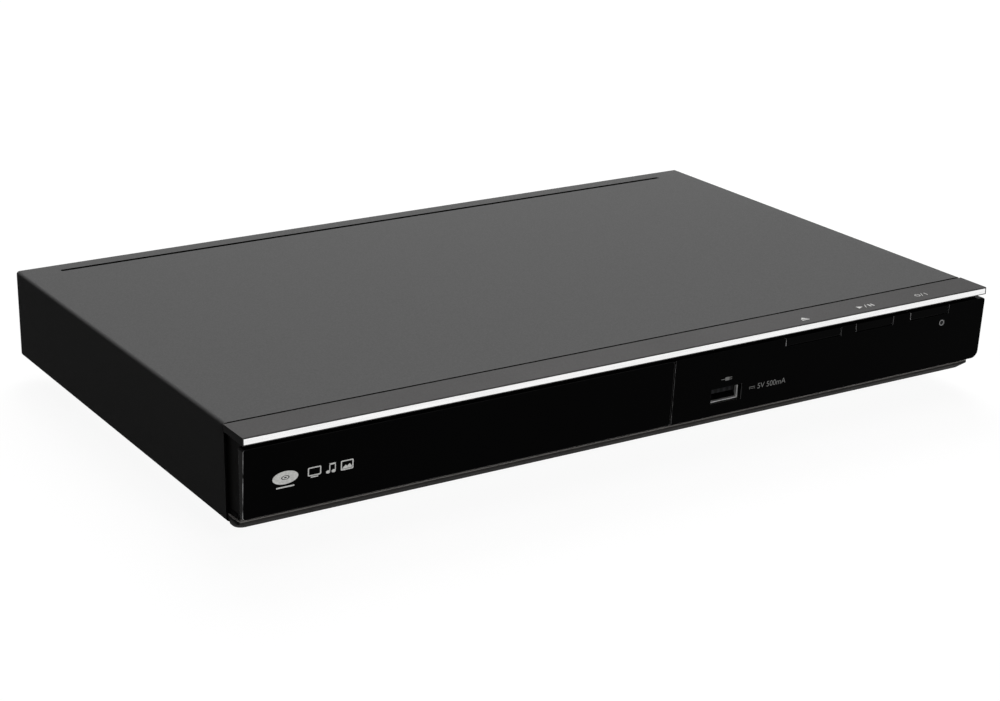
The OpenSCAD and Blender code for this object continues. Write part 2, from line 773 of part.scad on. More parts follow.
module top_strip() {
    color("#4e4c4b")
        difference() {
            union() {
                along_x(-body_w / 2, body_w / 2)
                    polygon([[front_y, trim_z0 - 0.3], [front_y, strip_z1 - 0.15], [front_y + 0.15, strip_z1],
                             [seam_y, strip_z1], [seam_y, plate_z], [front_y + lip_t, plate_z],
                             [front_y + lip_t, trim_z0 - 0.3]]);
                for (s = [-1, 1]) side(s)
                    box(body_w / 2 - 1.3, body_w / 2, front_y + 1, seam_y, body_h - strip_h, plate_z + eps);
            }
            box(-body_w / 2 + trim_end - 0.05, body_w / 2 - trim_end + 0.05, front_y - cut, front_y + trim_t,
                trim_z0 - 0.05, trim_z1 + 0.05);
        }
}

module silver_trim() {
    color("#e6e6e6")
        box(-body_w / 2 + trim_end, body_w / 2 - trim_end, front_y, front_y + trim_t, trim_z0, trim_z1);
}

// Outline of the right panel with open notches for the keys
module panel_face() {
    x0 = seam_x + seam_gap / 2;
    x1 = body_w / 2 - 0.1;
    difference() {
        union() {
            round_rect(x0, x1, panel_z0, panel_z1, corner_r);
            translate([x0, panel_z0]) square([2 * corner_r, panel_z1 - panel_z0]);
            translate([x0, panel_z1 - corner_r]) square([x1 - x0 - 1.2, corner_r]);
            translate([x1 - 1.2, panel_z1 - 1.2]) circle(1.2);
            translate([x1 - 2 * corner_r, panel_z0 + corner_r])
                square([2 * corner_r, panel_z1 - panel_z0 - corner_r - 1.2]);
        }
        for (i = [0 : 2])
            translate([key_mid[i] - key_w[i] / 2 - key_gap, key_z0 - key_gap])
                square([key_w[i] + 2 * key_gap, key_h + 2 * key_gap + cut]);
        translate([usb_mid - usb_w / 2 - 0.15, usb_z - usb_h / 2 - 0.15]) square([usb_w + 0.3, usb_h + 0.3]);
        translate([lens_mid, lens_z]) circle(lens_r + 0.1);
    }
}

module front_panel() {
    color("#060606")
        intersection() {
            along_y(front_y, frame_y0) panel_face();
            along_x(0, body_w / 2) lean_outline(frame_y0);
        }
}

module key(i) {
    x0 = key_mid[i] - key_w[i] / 2;
    x1 = x0 + key_w[i];
    stem_y = front_board_y - 5 - key_travel - 0.1;
    color("#0a0a0a") {
        box(x0, x1, lean_y(key_z1) + 0.15, frame_y1 + 0.4 + eps, key_z0, key_z1);
        box(x0 - 1.2, x1 + 1.2, frame_y1 + 0.3, frame_y1 + 1.4, key_z0 - 0.6, key_z1);
        bar_y(key_mid[i], (key_z0 + key_z1) / 2, frame_y1 + 1, stem_y, 1.3);
    }
}

module eject_key() { key(0); }
module play_key() { key(1); }
module power_key() { key(2); }

module indicator_lens() {
    color("#7a7a7a") {
        bar_y(lens_mid, lens_z, lean_y(lens_z) + 0.1, front_board_y - 4.4, lens_r);
        bar_y(lens_mid, lens_z, frame_y1, frame_y1 + 1, lens_r + 1);
    }
}

module front_board() {
    back_y = front_board_y + board_t;
    color("#1f5a34") {
        difference() {
            box(usb_mid - 8.4, front_board_x1, front_board_y, back_y, panel_z0 + 2.5, plate_z - 2.2);
            for (p = front_posts) bar_y(p[0], p[1], front_board_y - cut, back_y + cut, hole_r);
        }
    }
    color("#e8e2d0")
        box(cable_x - 9, cable_x + 9, back_y - eps, back_y + 3, cable_z - 2, cable_z + 2);
}

module tact_switches() {
    z = (key_z0 + key_z1) / 2;
    color("#303030")
        for (x = key_mid) {
            box(x - 3, x + 3, front_board_y - 3.5, front_board_y, z - 3, z + 1.6);
            bar_y(x, z, front_board_y - 5, front_board_y - 3.4, 1.5);
        }
}

module indicator_lamp() {
    color("#d8e8d8") {
        bar_y(lens_mid, lens_z, front_board_y - 3.6, front_board_y, 1.5);
        bar_y(lens_mid, lens_z, front_board_y - 1, front_board_y, 1.9);
    }
}

module remote_receiver() {
    x = lens_mid - 15.6;
    z = lens_z - 4.8;
    color("#101014") {
        box(x - 3.5, x + 3.5, front_board_y - 3, front_board_y, z - 4, z + 4);
        bar_y(x, z, front_board_y - 5, front_board_y - 2.9, 2.4);
    }
}

// Open-ended sheet box along Y
module socket_shell(x, z, w, h, y0, y1, t) {
    difference() {
        box(x - w / 2, x + w / 2, y0, y1, z - h / 2, z + h / 2);
        box(x - w / 2 + t, x + w / 2 - t, y0 - cut, y1 + cut, z - h / 2 + t, z + h / 2 - t);
    }
}

module usb_shell() {
    color("#c9c9c6") socket_shell(usb_mid, usb_z, usb_w, usb_h, lean_y(usb_z) + shell_set, front_board_y, shell_t);
}

module usb_tongue() {
    back_y = front_board_y - 3;
    color("#f0efe9") {
        box(usb_mid - 5.6, usb_mid + 5.6, lean_y(usb_z) + shell_set + 1, back_y, usb_z + 0.1, usb_z + 2);
        box(usb_mid - usb_w / 2 + shell_t, usb_mid + usb_w / 2 - shell_t, back_y - eps, front_board_y,
            usb_z - usb_h / 2 + shell_t, usb_z + usb_h / 2 - shell_t);
    }
}

// ---------------------------------------------------------------- tray

module tray_door() {
    color("#060606") {
        intersection() {
            along_y(front_y, door_back_y) round_rect(door_x0, door_x1, panel_z0, panel_z1, door_r);
            along_x(door_x0, door_x1) lean_outline(door_back_y);
        }
        at_loader()
            for (s = [-1, 1])
                box(s * 52 - 5, s * 52 + 5, door_back_y - eps, door_back_y + 7, tray_z0 - 3, tray_z0);
    }
}

module disc_tray() {
    half = tray_w / 2;
    slot = tray_slot_w / 2;
    arm_y = disc_y + recess_r + 6;
    notch = recess_r * 0.72;
    color("#222222")
        at_loader() {
            difference() {
                union() {
                    box(-half, half, door_back_y, tray_y1, tray_z0, tray_z1);
                    box(-wing_half, wing_half, door_back_y + 8, tray_y1, tray_z0, tray_z0 + wing_h);
                }
                post(0, disc_y, seat_z, tray_z1 + cut, recess_r);
                post(0, disc_y, seat_z - small_deep, tray_z1 + cut, small_disc_r + disc_play);
                post(0, disc_y - recess_r, seat_z - small_deep, tray_z1 + cut, 12);
                for (s = [-1, 1])
                    post(s * notch, disc_y + notch, seat_z - small_deep, tray_z1 + cut, 8);
                post(0, disc_y, tray_z0 - cut, tray_z1 + cut, slot);
                box(-slot, slot, disc_y, tray_y1 + cut, tray_z0 - cut, tray_z1 + cut);
                box(-half - cut, half + cut, arm_y, tray_y1 + cut, tray_z0 + wing_h, tray_z1 + cut);
            }
            tray_rack();
        }
}

// Rack under the tray's left side
module tray_rack() {
    pitch = PI * rack_module;
    root = 1.2 * rack_module;
    length = tray_travel + 2 * rack_over;
    height = tray_z0 - rack_z + eps;
    translate([rack_x, drive_y, rack_z]) {
        translate([-root - 2.6, -rack_over, 0]) cube([2.6, length, height]);
        for (k = [0 : floor(length / pitch) - 1])
            translate([0, (k - 0.5) * pitch, 0]) linear_extrude(height) rack_tooth(rack_module);
    }
}

// ---------------------------------------------------------------- loader

module loader_frame() {
    ledge_z1 = tray_z0 - guide_gap;
    top_ledge_z = tray_z0 + wing_h + guide_gap;
    wall_in = load_half - wall_t;
    ledge_in = wall_in - 7.6;
    low_z = load_z1 - eps;
    ear = opening_half + 0.1;
    color("#3a3a3c")
        at_loader() {
            difference() {
                union() {
                    box(-load_half, load_half, load_y0, load_y1, load_z0, load_z1);
                    for (s = [-1, 1]) side(s) {
                        box(wall_in, load_half, load_y0, load_y1, low_z, tray_z1 + 2.8);
                        box(wall_in, load_half, bridge_y0, bridge_y1, low_z, bridge_z);
                        box(ledge_in, wall_in + eps, load_y0, load_y1, ledge_z1 - 1.9, ledge_z1);
                        box(wall_in - 4.6, wall_in + eps, load_y0, load_y1, top_ledge_z, top_ledge_z + 1.4);
                        for (y = [load_y0 + 20 : 40 : load_y1])
                            box(ledge_in, wall_in + eps, y, y + 2, low_z, ledge_z1 - 1.8);
                        box(ear, ear + 3, hinge_y - 4, hinge_y + 4, low_z, hinge_z + 4);
                    }
                    post(motor_x, drive_y, low_z, load_z1 + 3, motor_r + 2);
                }
                box(-opening_half, opening_half, slider_y1 + 1, hinge_y + 5.4, load_z0 - cut, load_z1 + cut);
                post(motor_x, drive_y, load_z0 - cut, load_z1 + 3 + cut, motor_r + 0.1);
                bar_x(hinge_y, hinge_z, -opening_half - 4, opening_half + 4, hinge_r + run_gap);
                for (p = loader_posts) post(p[0] - load_x, p[1], load_z0 - cut, load_z1 + cut, hole_r);
                for (s = [-1, 1]) post(s * bridge_screw_x, disc_y, bridge_z - 6, bridge_z + cut, 0.6);
            }
            gear_post(drive_x, drive_y, rack_z + rack_w - 0.1, gear_post_r);
            gear_post(wheel_x, drive_y, wheel_z + wheel_w + 0.4, gear_post_r);
            box(-45, 45, slider_y - 0.5, slider_y + 0.5, low_z, load_z1 + 0.6);
        }
}

// Post of a gear with its low seat
module gear_post(x, y, top, r) {
    post(x, y, load_z1 - eps, top, r);
    post(x, y, load_z1 - eps, gear_z - seat_gap, r + 2);
}

module clamp_bridge() {
    color("#a7a9aa")
        at_loader()
            difference() {
                union() {
                    box(-load_half, load_half, bridge_y0 + 8, bridge_y1 - 8, bridge_z, bridge_z1);
                    post(0, disc_y, bridge_z, bridge_z1, bridge_l / 2);
                }
                post(0, disc_y, bridge_z - cut, bridge_z1 + cut, neck_r + 0.6);
                for (s = [-1, 1]) post(s * bridge_screw_x, disc_y, bridge_z - cut, bridge_z1 + cut, 0.7);
            }
}

module clamper() {
    color("#2c2c2e")
        translate([load_x, disc_y, 0])
            difference() {
                union() {
                    post(0, 0, clamper_z, clamper_z + 1.7, clamper_r);
                    post(0, 0, clamper_z + 1.7 - eps, flange_z + eps, neck_r);
                    post(0, 0, flange_z, flange_z + flange_t, clamper_r);
                }
                post(0, 0, clamper_z - cut, clamper_z + 1.5, hub_r + 0.4);
                post(0, 0, clamper_z + 2.3, flange_z + flange_t + cut, 8.05);
            }
}

module clamp_magnet() {
    color("#8a8d90")
        translate([load_x, disc_y, 0])
            difference() {
                post(0, 0, clamper_z + 2.3, flange_z + 0.4, 8);
                post(0, 0, clamper_z + 2.3 - cut, flange_z + 0.4 + cut, 2);
            }
}

module cam_slider() {
    x0 = -cam_pin_x - slider_travel - 4;
    x1 = cam_pin_x + 4;
    top = cam_pin_z + 1.9;
    low_top = cam_pin_z - cam_rise + 3.2;
    tooth_y = drive_y + fast_module * (large_teeth / 2 + 0.9) + 0.5;
    color("#d9d4c6")
        at_loader()
            difference() {
                union() {
                    along_y(slider_y0, slider_y1)
                        polygon([[x0, slider_z0], [x1, slider_z0], [x1, top], [-cam_pin_x - 3, top],
                                 [rack_x + 0.5, low_top], [x0, low_top]]);
                    for (k = [0 : 9])
                        translate([drive_x - 9 + k * PI * fast_module, slider_y0, slider_z0])
                            slider_tooth(slider_y0 - tooth_y);
                }
                for (s = [-1, 1]) cam_slot(s * cam_pin_x);
                box(x0 - cut, x1 + cut, slider_y - 0.8, slider_y + 0.8, slider_z0 - cut, load_z1 + 0.9);
            }
}

// Tooth on the slider's front face, of height h
module slider_tooth(h) {
    linear_extrude(gear_w) polygon([[-0.9, eps], [-0.4, -h], [0.4, -h], [0.9, eps]]);
}

// Sloping slot that a cam pin runs in, from its high end
module cam_slot(x) {
    angle = atan(cam_rise / slider_travel);
    length = sqrt(cam_rise * cam_rise + slider_travel * slider_travel);
    r = pin_r + 0.2;
    translate([x, 0, cam_pin_z]) rotate([0, -angle, 0]) {
        bar_y(0, 0, slider_y0 - cut, slider_y1 + cut, r);
        bar_y(-length, 0, slider_y0 - cut, slider_y1 + cut, r);
        box(-length, 0, slider_y0 - cut, slider_y1 + cut, -r, r);
    }
}

module loading_motor() {
    color("#b4b6b8")
        at_loader()
            difference() {
                union() {
                    post(motor_x, drive_y, pan_z1 + 0.5, wheel_z - 1.4, motor_r);
                    post(motor_x, drive_y, wheel_z - 1.4 - eps, wheel_z - 0.6, 3);
                }
                post(motor_x, drive_y, pan_z1 + 4, wheel_z + cut, 1 + run_gap);
            }
}

module motor_pulley() {
    color("#c8c2b0")
        at_loader() {
            post(motor_x, drive_y, pan_z1 + 5, wheel_z + eps, 1);
            grooved_wheel(motor_x, drive_y, 0, pulley_r);
        }
}

// Solid wheel with a groove for the belt and a bore
module grooved_wheel(x, y, bore, r) {
    groove = r - groove_depth;
    top = wheel_z + wheel_w;
    turned(x, y)
        polygon([[bore, wheel_z], [r, wheel_z], [r, wheel_z + 0.5], [groove, wheel_z + 0.8],
                 [groove, top - 0.8], [r, top - 0.5], [r, top], [bore, top]]);
}

module drive_belt() {
    gap = 0.15;
    color("#141414")
        at_loader()
            translate([0, drive_y, wheel_z + 1])
                linear_extrude(wheel_w - 2) difference() {
                    hull() {
                        translate([wheel_x, 0]) circle(wheel_groove_r + gap + belt_t);
                        translate([motor_x, 0]) circle(pulley_groove_r + gap + belt_t);
                    }
                    hull() {
                        translate([wheel_x, 0]) circle(wheel_groove_r + gap);
                        translate([motor_x, 0]) circle(pulley_groove_r + gap);
                    }
                }
}

module belt_wheel() {
    bore = gear_post_r + run_gap;
    color("#e4dfd2")
        at_loader() {
            difference() {
                translate([wheel_x, drive_y, gear_z]) gear(fast_module, pinion_teeth, wheel_z - gear_z + eps);
                post(wheel_x, drive_y, gear_z - cut, wheel_z + cut, bore);
            }
            grooved_wheel(wheel_x, drive_y, bore, wheel_r);
        }
}

module drive_gear() {
    bore = gear_post_r + run_gap;
    color("#efece2")
        at_loader()
            difference() {
                union() {
                    translate([drive_x, drive_y, gear_z]) gear(fast_module, large_teeth, gear_w);
                    post(drive_x, drive_y, gear_z + gear_w - eps, rack_z + eps, 5);
                    translate([drive_x, drive_y, rack_z]) gear(rack_module, rack_gear_teeth, rack_w);
                }
                post(drive_x, drive_y, gear_z - cut, rack_z + rack_w + cut, bore);
            }
}

module loader_screws() {
    color("#b9bbbd") {
        for (p = loader_posts) screw_down(p[0], p[1], load_z1, load_z1 - pan_z1 - 0.7);
        for (s = [-1, 1]) {
            post(load_x + s * bridge_screw_x, disc_y, bridge_z - 5, bridge_z1 + eps, 0.55);
            post(load_x + s * bridge_screw_x, disc_y, bridge_z1, bridge_z1 + 1, wall_t / 2);
        }
    }
}

// ---------------------------------------------------------------- traverse

module cradle() {
    inner = cradle_half - 6;
    lug = damper_x - damper_r - 1;
    low = cradle_z0 - cut;
    high = cradle_z1 + cut;
    pin_x1 = opening_half + 2.9;
    color("#4a4a4e")
        at_loader() {
            difference() {
                box(-cradle_half, cradle_half, cradle_y0, cradle_y1, cradle_z0, cradle_z1);
                box(-inner, inner, damper_y[0] + damper_r + 1, damper_y[1] - damper_r, low, high);
                box(-lug, lug, cradle_y0 + 4, hinge_y - 4, low, high);
                for (p = damper_places) post(p[0], p[1], low, high, bore_r);
            }
            box(-cam_pin_x - 8, cam_pin_x + 8, cradle_y0, cradle_y0 + 2.2, cradle_z1 - eps, cam_pin_z + 2);
            for (s = [-1, 1]) side(s) {
                bar_y(cam_pin_x, cam_pin_z, slider_y0 - 0.3, cradle_y0 + eps, pin_r);
                bar_x(hinge_y, hinge_z, cradle_half - 3, pin_x1, hinge_r);
            }
        }
}

module traverse_deck() {
    low = deck_z - cut;
    high = motor_base_z + cut;
    color("#bfc2c4")
        at_loader() {
            difference() {
                box(-deck_half, deck_half, deck_y0, deck_y1, deck_z, motor_base_z);
                box(-rod_x + 0.5, rod_x - 0.5, sled_y0 - 0.6, sled_y1 + sled_travel + 2.5, low, high);
                box(rod_x - 0.5 - eps, deck_half + cut, lead_y0 - 15.5, lead_y0 - 0.3, low, high);
                for (p = damper_places) post(p[0], p[1], low, high, hole_r);
            }
            for (s = [-1, 1], y = [rod_y0, rod_y1 - 3]) rod_holder(s * rod_x, y);
            difference() {
                box(lead_x - 2.4, lead_x + 2.4, lead_y1 - 2.5, lead_y1 + 0.6, lead_z - 2.2, deck_z + eps);
                bar_y(lead_x, lead_z, lead_y1 - 2.5 - cut, lead_y1 + 0.6 + cut, screw_r + run_gap);
            }
        }
}

// Block that holds one end of a guide rod
module rod_holder(x, y) {
    difference() {
        box(x - 2.6, x + 2.6, y, y + 3, motor_base_z - eps, rod_z + rod_r + 1);
        bar_y(x, rod_z, y - cut, y + 3 + cut, rod_r + screw_gap);
    }
}

module rubber_dampers() {
    color("#33353a")
        at_loader()
            for (p = damper_places)
                difference() {
                    post(p[0], p[1], cradle_z1, deck_z, damper_r);
                    post(p[0], p[1], cradle_z1 - cut, deck_z + cut, hole_r);
                }
}

module damper_screws() {
    color("#b9bbbd")
        at_loader()
            for (p = damper_places) screw_down(p[0], p[1], motor_base_z, motor_base_z - cradle_z0 - 0.3);
}

module spindle_motor() {
    color("#a9abad")
        at_loader()
            difference() {
                post(0, disc_y, motor_base_z, pad_z - 3, spindle_r);
                post(0, disc_y, motor_base_z + 0.4, pad_z, 1 + run_gap);
            }
}

module turntable() {
    low = pad_z - 2.4;
    color("#3c3c40")
        translate([load_x, disc_y, 0]) {
            difference() {
                union() {
                    post(0, 0, low, pad_z - 0.5, table_r);
                    post(0, 0, pad_z - 0.5 - eps, pad_z + 0.4, hub_r);
                    translate([0, 0, pad_z + 0.4 - eps]) cylinder(h = 1.2, r1 = hub_r, r2 = hub_r - 2);
                }
                difference() {
                    post(0, 0, pad_z - 0.9, pad_z + cut, table_r - 0.4);
                    post(0, 0, pad_z - 0.9 - cut, pad_z + 2 * cut, table_r - 3.6);
                }
            }
            post(0, 0, motor_base_z + 0.6, low + eps, 1);
        }
}

module turntable_pad() {
    color("#5a5a5a")
        translate([load_x, disc_y, 0])
            difference() {
                post(0, 0, pad_z - 0.9, pad_z, table_r - 0.5);
                post(0, 0, pad_z - 0.9 - cut, pad_z + cut, table_r - 3.5);
            }
}

module guide_rods() {
    color("#d5d7d9")
        at_loader()
            for (s = [-1, 1]) bar_y(s * rod_x, rod_z, rod_y0 + 0.4, rod_y1 - 0.4, rod_r);
}

module lead_screw() {
    color("#d0d2d4")
        at_loader() {
            bar_y(lead_x, lead_z, lead_y0, lead_y1, screw_r);
            bar_y(lead_x, lead_z, lead_y0 - 9, lead_y0 + eps, 1);
        }
}

module sled_motor() {
    back = lead_y0 - 0.6;
    color("#9fa2a5")
        at_loader()
            difference() {
                union() {
                    bar_y(lead_x, lead_z, lead_y0 - 14, back, sled_motor_r);
                    box(lead_x - 4.6, lead_x + 4.6, back - 0.8, lead_y0 + 5, deck_z - 0.7, deck_z);
                }
                bar_y(lead_x, lead_z, lead_y0 - 10, back + cut, 1 + run_gap);
            }
}

module optical_pickup() {
    half = rod_x - 3;
    top = pad_z - 3.4;
    color("#7d8084")
        at_loader()
            difference() {
                union() {
                    box(-half, half, sled_y0, sled_y1, deck_z - 3.4, top);
                    box(-9, 9, lens_y - 5.2, lens_y + 9, top - eps, pad_z - 1.8);
                    for (s = [-1, 1]) side(s)
                        box(half - eps, rod_x + 2.6, sled_y0 + 3, sled_y1 - 3,
                            motor_base_z + 0.3, rod_z + rod_r + 0.9);
                    box(half - eps, lead_x - screw_r - 0.3, lead_y0 + 6, lead_y0 + 14,
                        lead_z - 1, lead_z + 0.8);
                }
                for (s = [-1, 1]) bar_y(s * rod_x, rod_z, sled_y0, sled_y1, rod_r + run_gap);
                post(0, lens_y, pad_z - 4.6, pad_z, 3.5);
                post(0, disc_y, deck_z - 4, pad_z, spindle_r + 0.4);
            }
}

module pickup_lens() {
    color("#9db4d6")
        at_loader()
            turned(0, lens_y)
                polygon([[0, pad_z - 3.9], [3, pad_z - 3.9], [3, pad_z - 2], [2.4, pad_z - 1.7],
                         [1.2, pad_z - 1.5], [0, pad_z - 1.45]]);
}

// ---------------------------------------------------------------- boards

module main_board() {
    color("#1f5a34")
        difference() {
            box(main_left, main_left + main_w, main_y0, board_y1, board_z0, board_z1);
            for (p = main_posts) post(p[0], p[1], board_z0 - cut, board_z1 + cut, hole_r);
        }
    color("#e8e2d0") {
        box(cable_x - 9, cable_x + 9, main_y0 + 1, main_y0 + 5, board_z1 - eps, board_z1 + 4);
        box(main_left + 2, main_left + 6, loader_cable_y - 2, loader_cable_y + cable_w + 2,
            board_z1 - eps, board_z1 + 4);
    }
}

module board_chips() {
    color("#17181a") {
        for (c = chips)
            translate([main_left + c[0], main_y0 + c[1], board_z1]) cube([c[2], c[3], c[4]]);
    }
}

// Upright electrolytic capacitor
module can(x, y, r, h) {
    turned(x, y)
        translate([0, board_z1])
            polygon([[0, 0], [r, 0], [r, 2 * can_groove], [r - can_groove, 3 * can_groove],
                     [r, 4 * can_groove], [r, h - can_groove], [r - can_groove, h], [0, h]]);
}

module board_capacitors() {
    color("#24262e") {
        for (i = [0 : 3])
            can(main_left + signal_cans[3] + i * signal_cans[2], main_y0 + signal_cans[4],
                signal_cans[0], signal_cans[1]);
        for (i = [0 : 2])
            can(main_left + main_w - supply_cans[3], main_y0 + supply_cans[4] + i * supply_cans[2],
                supply_cans[0], supply_cans[1]);
        for (i = [0 : 2])
            can(power_left + power_cans[3] + i * power_cans[2], power_y0 + power_cans[4],
                power_cans[0], power_cans[1]);
    }
}

module hdmi_socket() {
    z0 = board_z1;
    z1 = board_z1 + hdmi_h;
    half = hdmi_w / 2;
    back_y = rear_y1 - 9.5;
    color("#c6c8c8") {
        difference() {
            box(hdmi_mid - half, hdmi_mid + half, back_y - 2, rear_y1, z0, z1);
            box(hdmi_mid - half + 0.5, hdmi_mid + half - 0.5, back_y, rear_y1 + cut, z0 + 0.5, z1 - 0.5);
        }
        box(hdmi_mid - half + 1.9, hdmi_mid + half - 1.9, back_y - eps, rear_y1 - 1.5, z0 + 2.2, z0 + 3.7);
    }
}

module jack_block() {
    color("#1a1a1a")
        difference() {
            box(jack_places[0] - 8, jack_places[2] + 8, rear_y0 - 12, rear_y0, board_z1, jack_z + 7);
            bar_y(jack_screw_x, jack_screw_z, rear_y0 - 6, rear_y0 + cut, bore_r);
        }
}

module jack_sleeves() {
    color("#c9c29b")
        for (x = jack_places)
            difference() {
                union() {
                    bar_y(x, jack_z, rear_y0 + 0.8, jack_collar_y, jack_r + 0.2);
                    bar_y(x, jack_z, jack_collar_y - eps, jack_end_y, jack_r);
                }
                bar_y(x, jack_z, rear_y0, jack_end_y + cut, jack_r - 0.6);
            }
}

module jack_inserts() {
    color("#c8b030")
        for (x = jack_places)
            translate([x, rear_y0, jack_z]) rotate([-90, 0, 0])
                rotate_extrude()
                    polygon([[0, 0], [jack_r + 1, 0], [jack_r + 1, 2.6], [jack_r + 0.25, 2.6],
                             [jack_r + 0.25, 0.8], [jack_r - 0.85, 0.8], [jack_r - 0.85, 8.6],
                             [1.65, 8.6], [1.65, 1.6], [0, 1.6]]);
}

module power_board() {
    color("#8a6a34")
        difference() {
            box(power_left, power_left + power_w, power_y0, board_y1, board_z0, board_z1);
            for (p = power_posts) post(p[0], p[1], board_z0 - cut, board_z1 + cut, hole_r);
        }
}

module transformer() {
    top = can_top - transformer_drop;
    core = core_size / 2;
    winding = winding_size / 2;
    translate([power_left + transformer_at[0], power_y0 + transformer_at[1], 0]) {
        color("#c9a63a")
            box(-winding[0], winding[0], -winding[1], winding[1], board_z1 + core_t, top - core_t);
        color("#3c3a38") {
            box(-core[0], core[0], -core[1], core[1], board_z1, board_z1 + core_t + eps);
            box(-core[0], core[0], -core[1], core[1], top - core_t - eps, top);
            box(-core[0] / 3, core[0] / 3, -core[1], core[1], board_z1 + eps, top - eps);
        }
    }
}

module mains_capacitor() {
    color("#2d2f52")
        can(power_left + mains_can[1], power_y0 + mains_can[2], mains_can[0], can_top - board_z1);
}

module heat_sink() {
    x0 = power_left + power_w - sink_edge;
    x1 = x0 + sink_t;
    y0 = power_y0 + transformer_at[1] - sink_l / 2;
    top = can_top - sink_drop;
    color("#b9bcbe") {
        box(x0, x1, y0, y0 + sink_l, board_z1, top);
        for (y = [y0 + fin_t : fin_pitch : y0 + sink_l - fin_t])
            box(x1 - eps, x1 + fin_reach, y, y + fin_t, board_z1 + fin_t, top);
    }
}

module fuse() {
    y = power_y0 + fuse_at[1];
    z = board_z1 + fuse_h;
    x0 = power_left + fuse_at[0];
    color("#d8d8d0") {
        bar_x(y, z, x0, x0 + fuse_l, fuse_r);
        for (x = [x0, x0 + fuse_l - fuse_cap]) {
            bar_x(y, z, x, x + fuse_cap, fuse_r + 0.2);
            box(x + 1, x + fuse_cap - 1, y - fuse_r + 0.4, y + fuse_r - 0.4, board_z1, z);
        }
    }
}

// Outline of the inlet's opening: two overlapping circles
module inlet_outline() {
    for (s = [-1, 1]) translate([inlet_mid + s * 3.6, inlet_z]) circle(4.3);
    translate([inlet_mid - 3.6, inlet_z - 4]) square([7.2, 8]);
}

module mains_inlet() {
    half = inlet_w / 2;
    nose_w = inlet_nose_w / 2;
    nose_h = inlet_nose_h / 2;
    color("#151515")
        difference() {
            union() {
                box(inlet_mid - half, inlet_mid + half, rear_y0 - 16, rear_y0, board_z1, board_z1 + inlet_h);
                box(inlet_mid - nose_w, inlet_mid + nose_w, rear_y0 - eps, inlet_face_y,
                    inlet_z - nose_h, inlet_z + nose_h);
            }
            along_y(inlet_face_y - inlet_deep, inlet_face_y + cut) inlet_outline();
            for (x = inlet_pin_x) bar_y(x, inlet_z, inlet_pin_y, inlet_face_y, 1.2);
        }
}

module inlet_pins() {
    color("#c9c9c6")
        for (x = inlet_pin_x) bar_y(x, inlet_z, inlet_pin_y, inlet_face_y - 1.8, 1.17);
}

// One flat cable from the front board to the main board, one from under the loader to the main board
module flat_cables() {
    foil = 0.3;
    y0 = front_board_y + board_t + 3;
    z_up = board_z1 + 6;
    y_in = main_y0 + 3;
    z_in = board_z1 + 4;
    load_end = load_x + load_half;
    left = load_end - 13;
    rise = load_end + 0.35 * (main_left - load_end);
    bend = load_end + 0.6 * (main_left - load_end);
    right = main_left + 4;
    z_low = (pan_z1 + load_z0 - foil) / 2;
    z_over = board_z1 + 7;
    color("#e6e6e2") {
        along_x(cable_x - 7, cable_x + 7)
            polygon([[y0, cable_z], [y0 + 2, cable_z], [y0 + 6, z_up], [y_in - 2, z_up], [y_in, z_in],
                     [y_in + foil, z_in], [y_in - 2 + foil, z_up + foil], [y0 + 6 + foil, z_up + foil],
                     [y0 + 2 + foil, cable_z + foil], [y0, cable_z + foil]]);
        along_y(loader_cable_y, loader_cable_y + cable_w)
            polygon([[left, load_z0], [left, z_low + foil], [left + foil, z_low], [rise, z_low],
                     [bend, z_over], [right, z_over], [right, z_in], [right + foil, z_in],
                     [right + foil, z_over + foil], [bend - foil, z_over + foil], [rise - foil, z_low + foil],
                     [left + foil, z_low + foil], [left + foil, load_z0]]);
    }
}

module board_screws() {
    color("#b9bbbd") {
        for (p = concat(main_posts, power_posts)) screw_down(p[0], p[1], board_z1, board_t + 4);
        for (p = front_posts) {
            bar_y(p[0], p[1], front_board_y - 5, front_board_y + board_t + eps, shank_r);
            bar_y(p[0], p[1], front_board_y + board_t, front_board_y + board_t + head_h, head_r);
        }
    }
}

top_cover();
rear_screws();
chassis_pan();
foot_pads();
rear_panel();
front_frame();
top_strip();
silver_trim();
front_panel();
eject_key();
play_key();
power_key();
indicator_lens();
front_board();
tact_switches();
indicator_lamp();
remote_receiver();
usb_shell();
usb_tongue();
tray_door();
disc_tray();
loader_frame();
clamp_bridge();
clamper();
clamp_magnet();
cradle();
traverse_deck();
rubber_dampers();
damper_screws();
spindle_motor();
turntable();
turntable_pad();
guide_rods();
lead_screw();
sled_motor();
optical_pickup();
pickup_lens();
cam_slider();
loading_motor();
motor_pulley();
drive_belt();
belt_wheel();
drive_gear();
loader_screws();
main_board();
board_chips();
board_capacitors();
hdmi_socket();
jack_block();
jack_sleeves();
jack_inserts();
power_board();
transformer();
mains_capacitor();
heat_sink();
fuse();
mains_inlet();
inlet_pins();
flat_cables();
board_screws();
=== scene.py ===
"""A slim disc player with a front tray, dressed around its packed solids.

Run as a script, it builds every visible piece, the floor, the lamps and the camera.
Each operator can also be run again on its own after a size or colour was changed.
"""

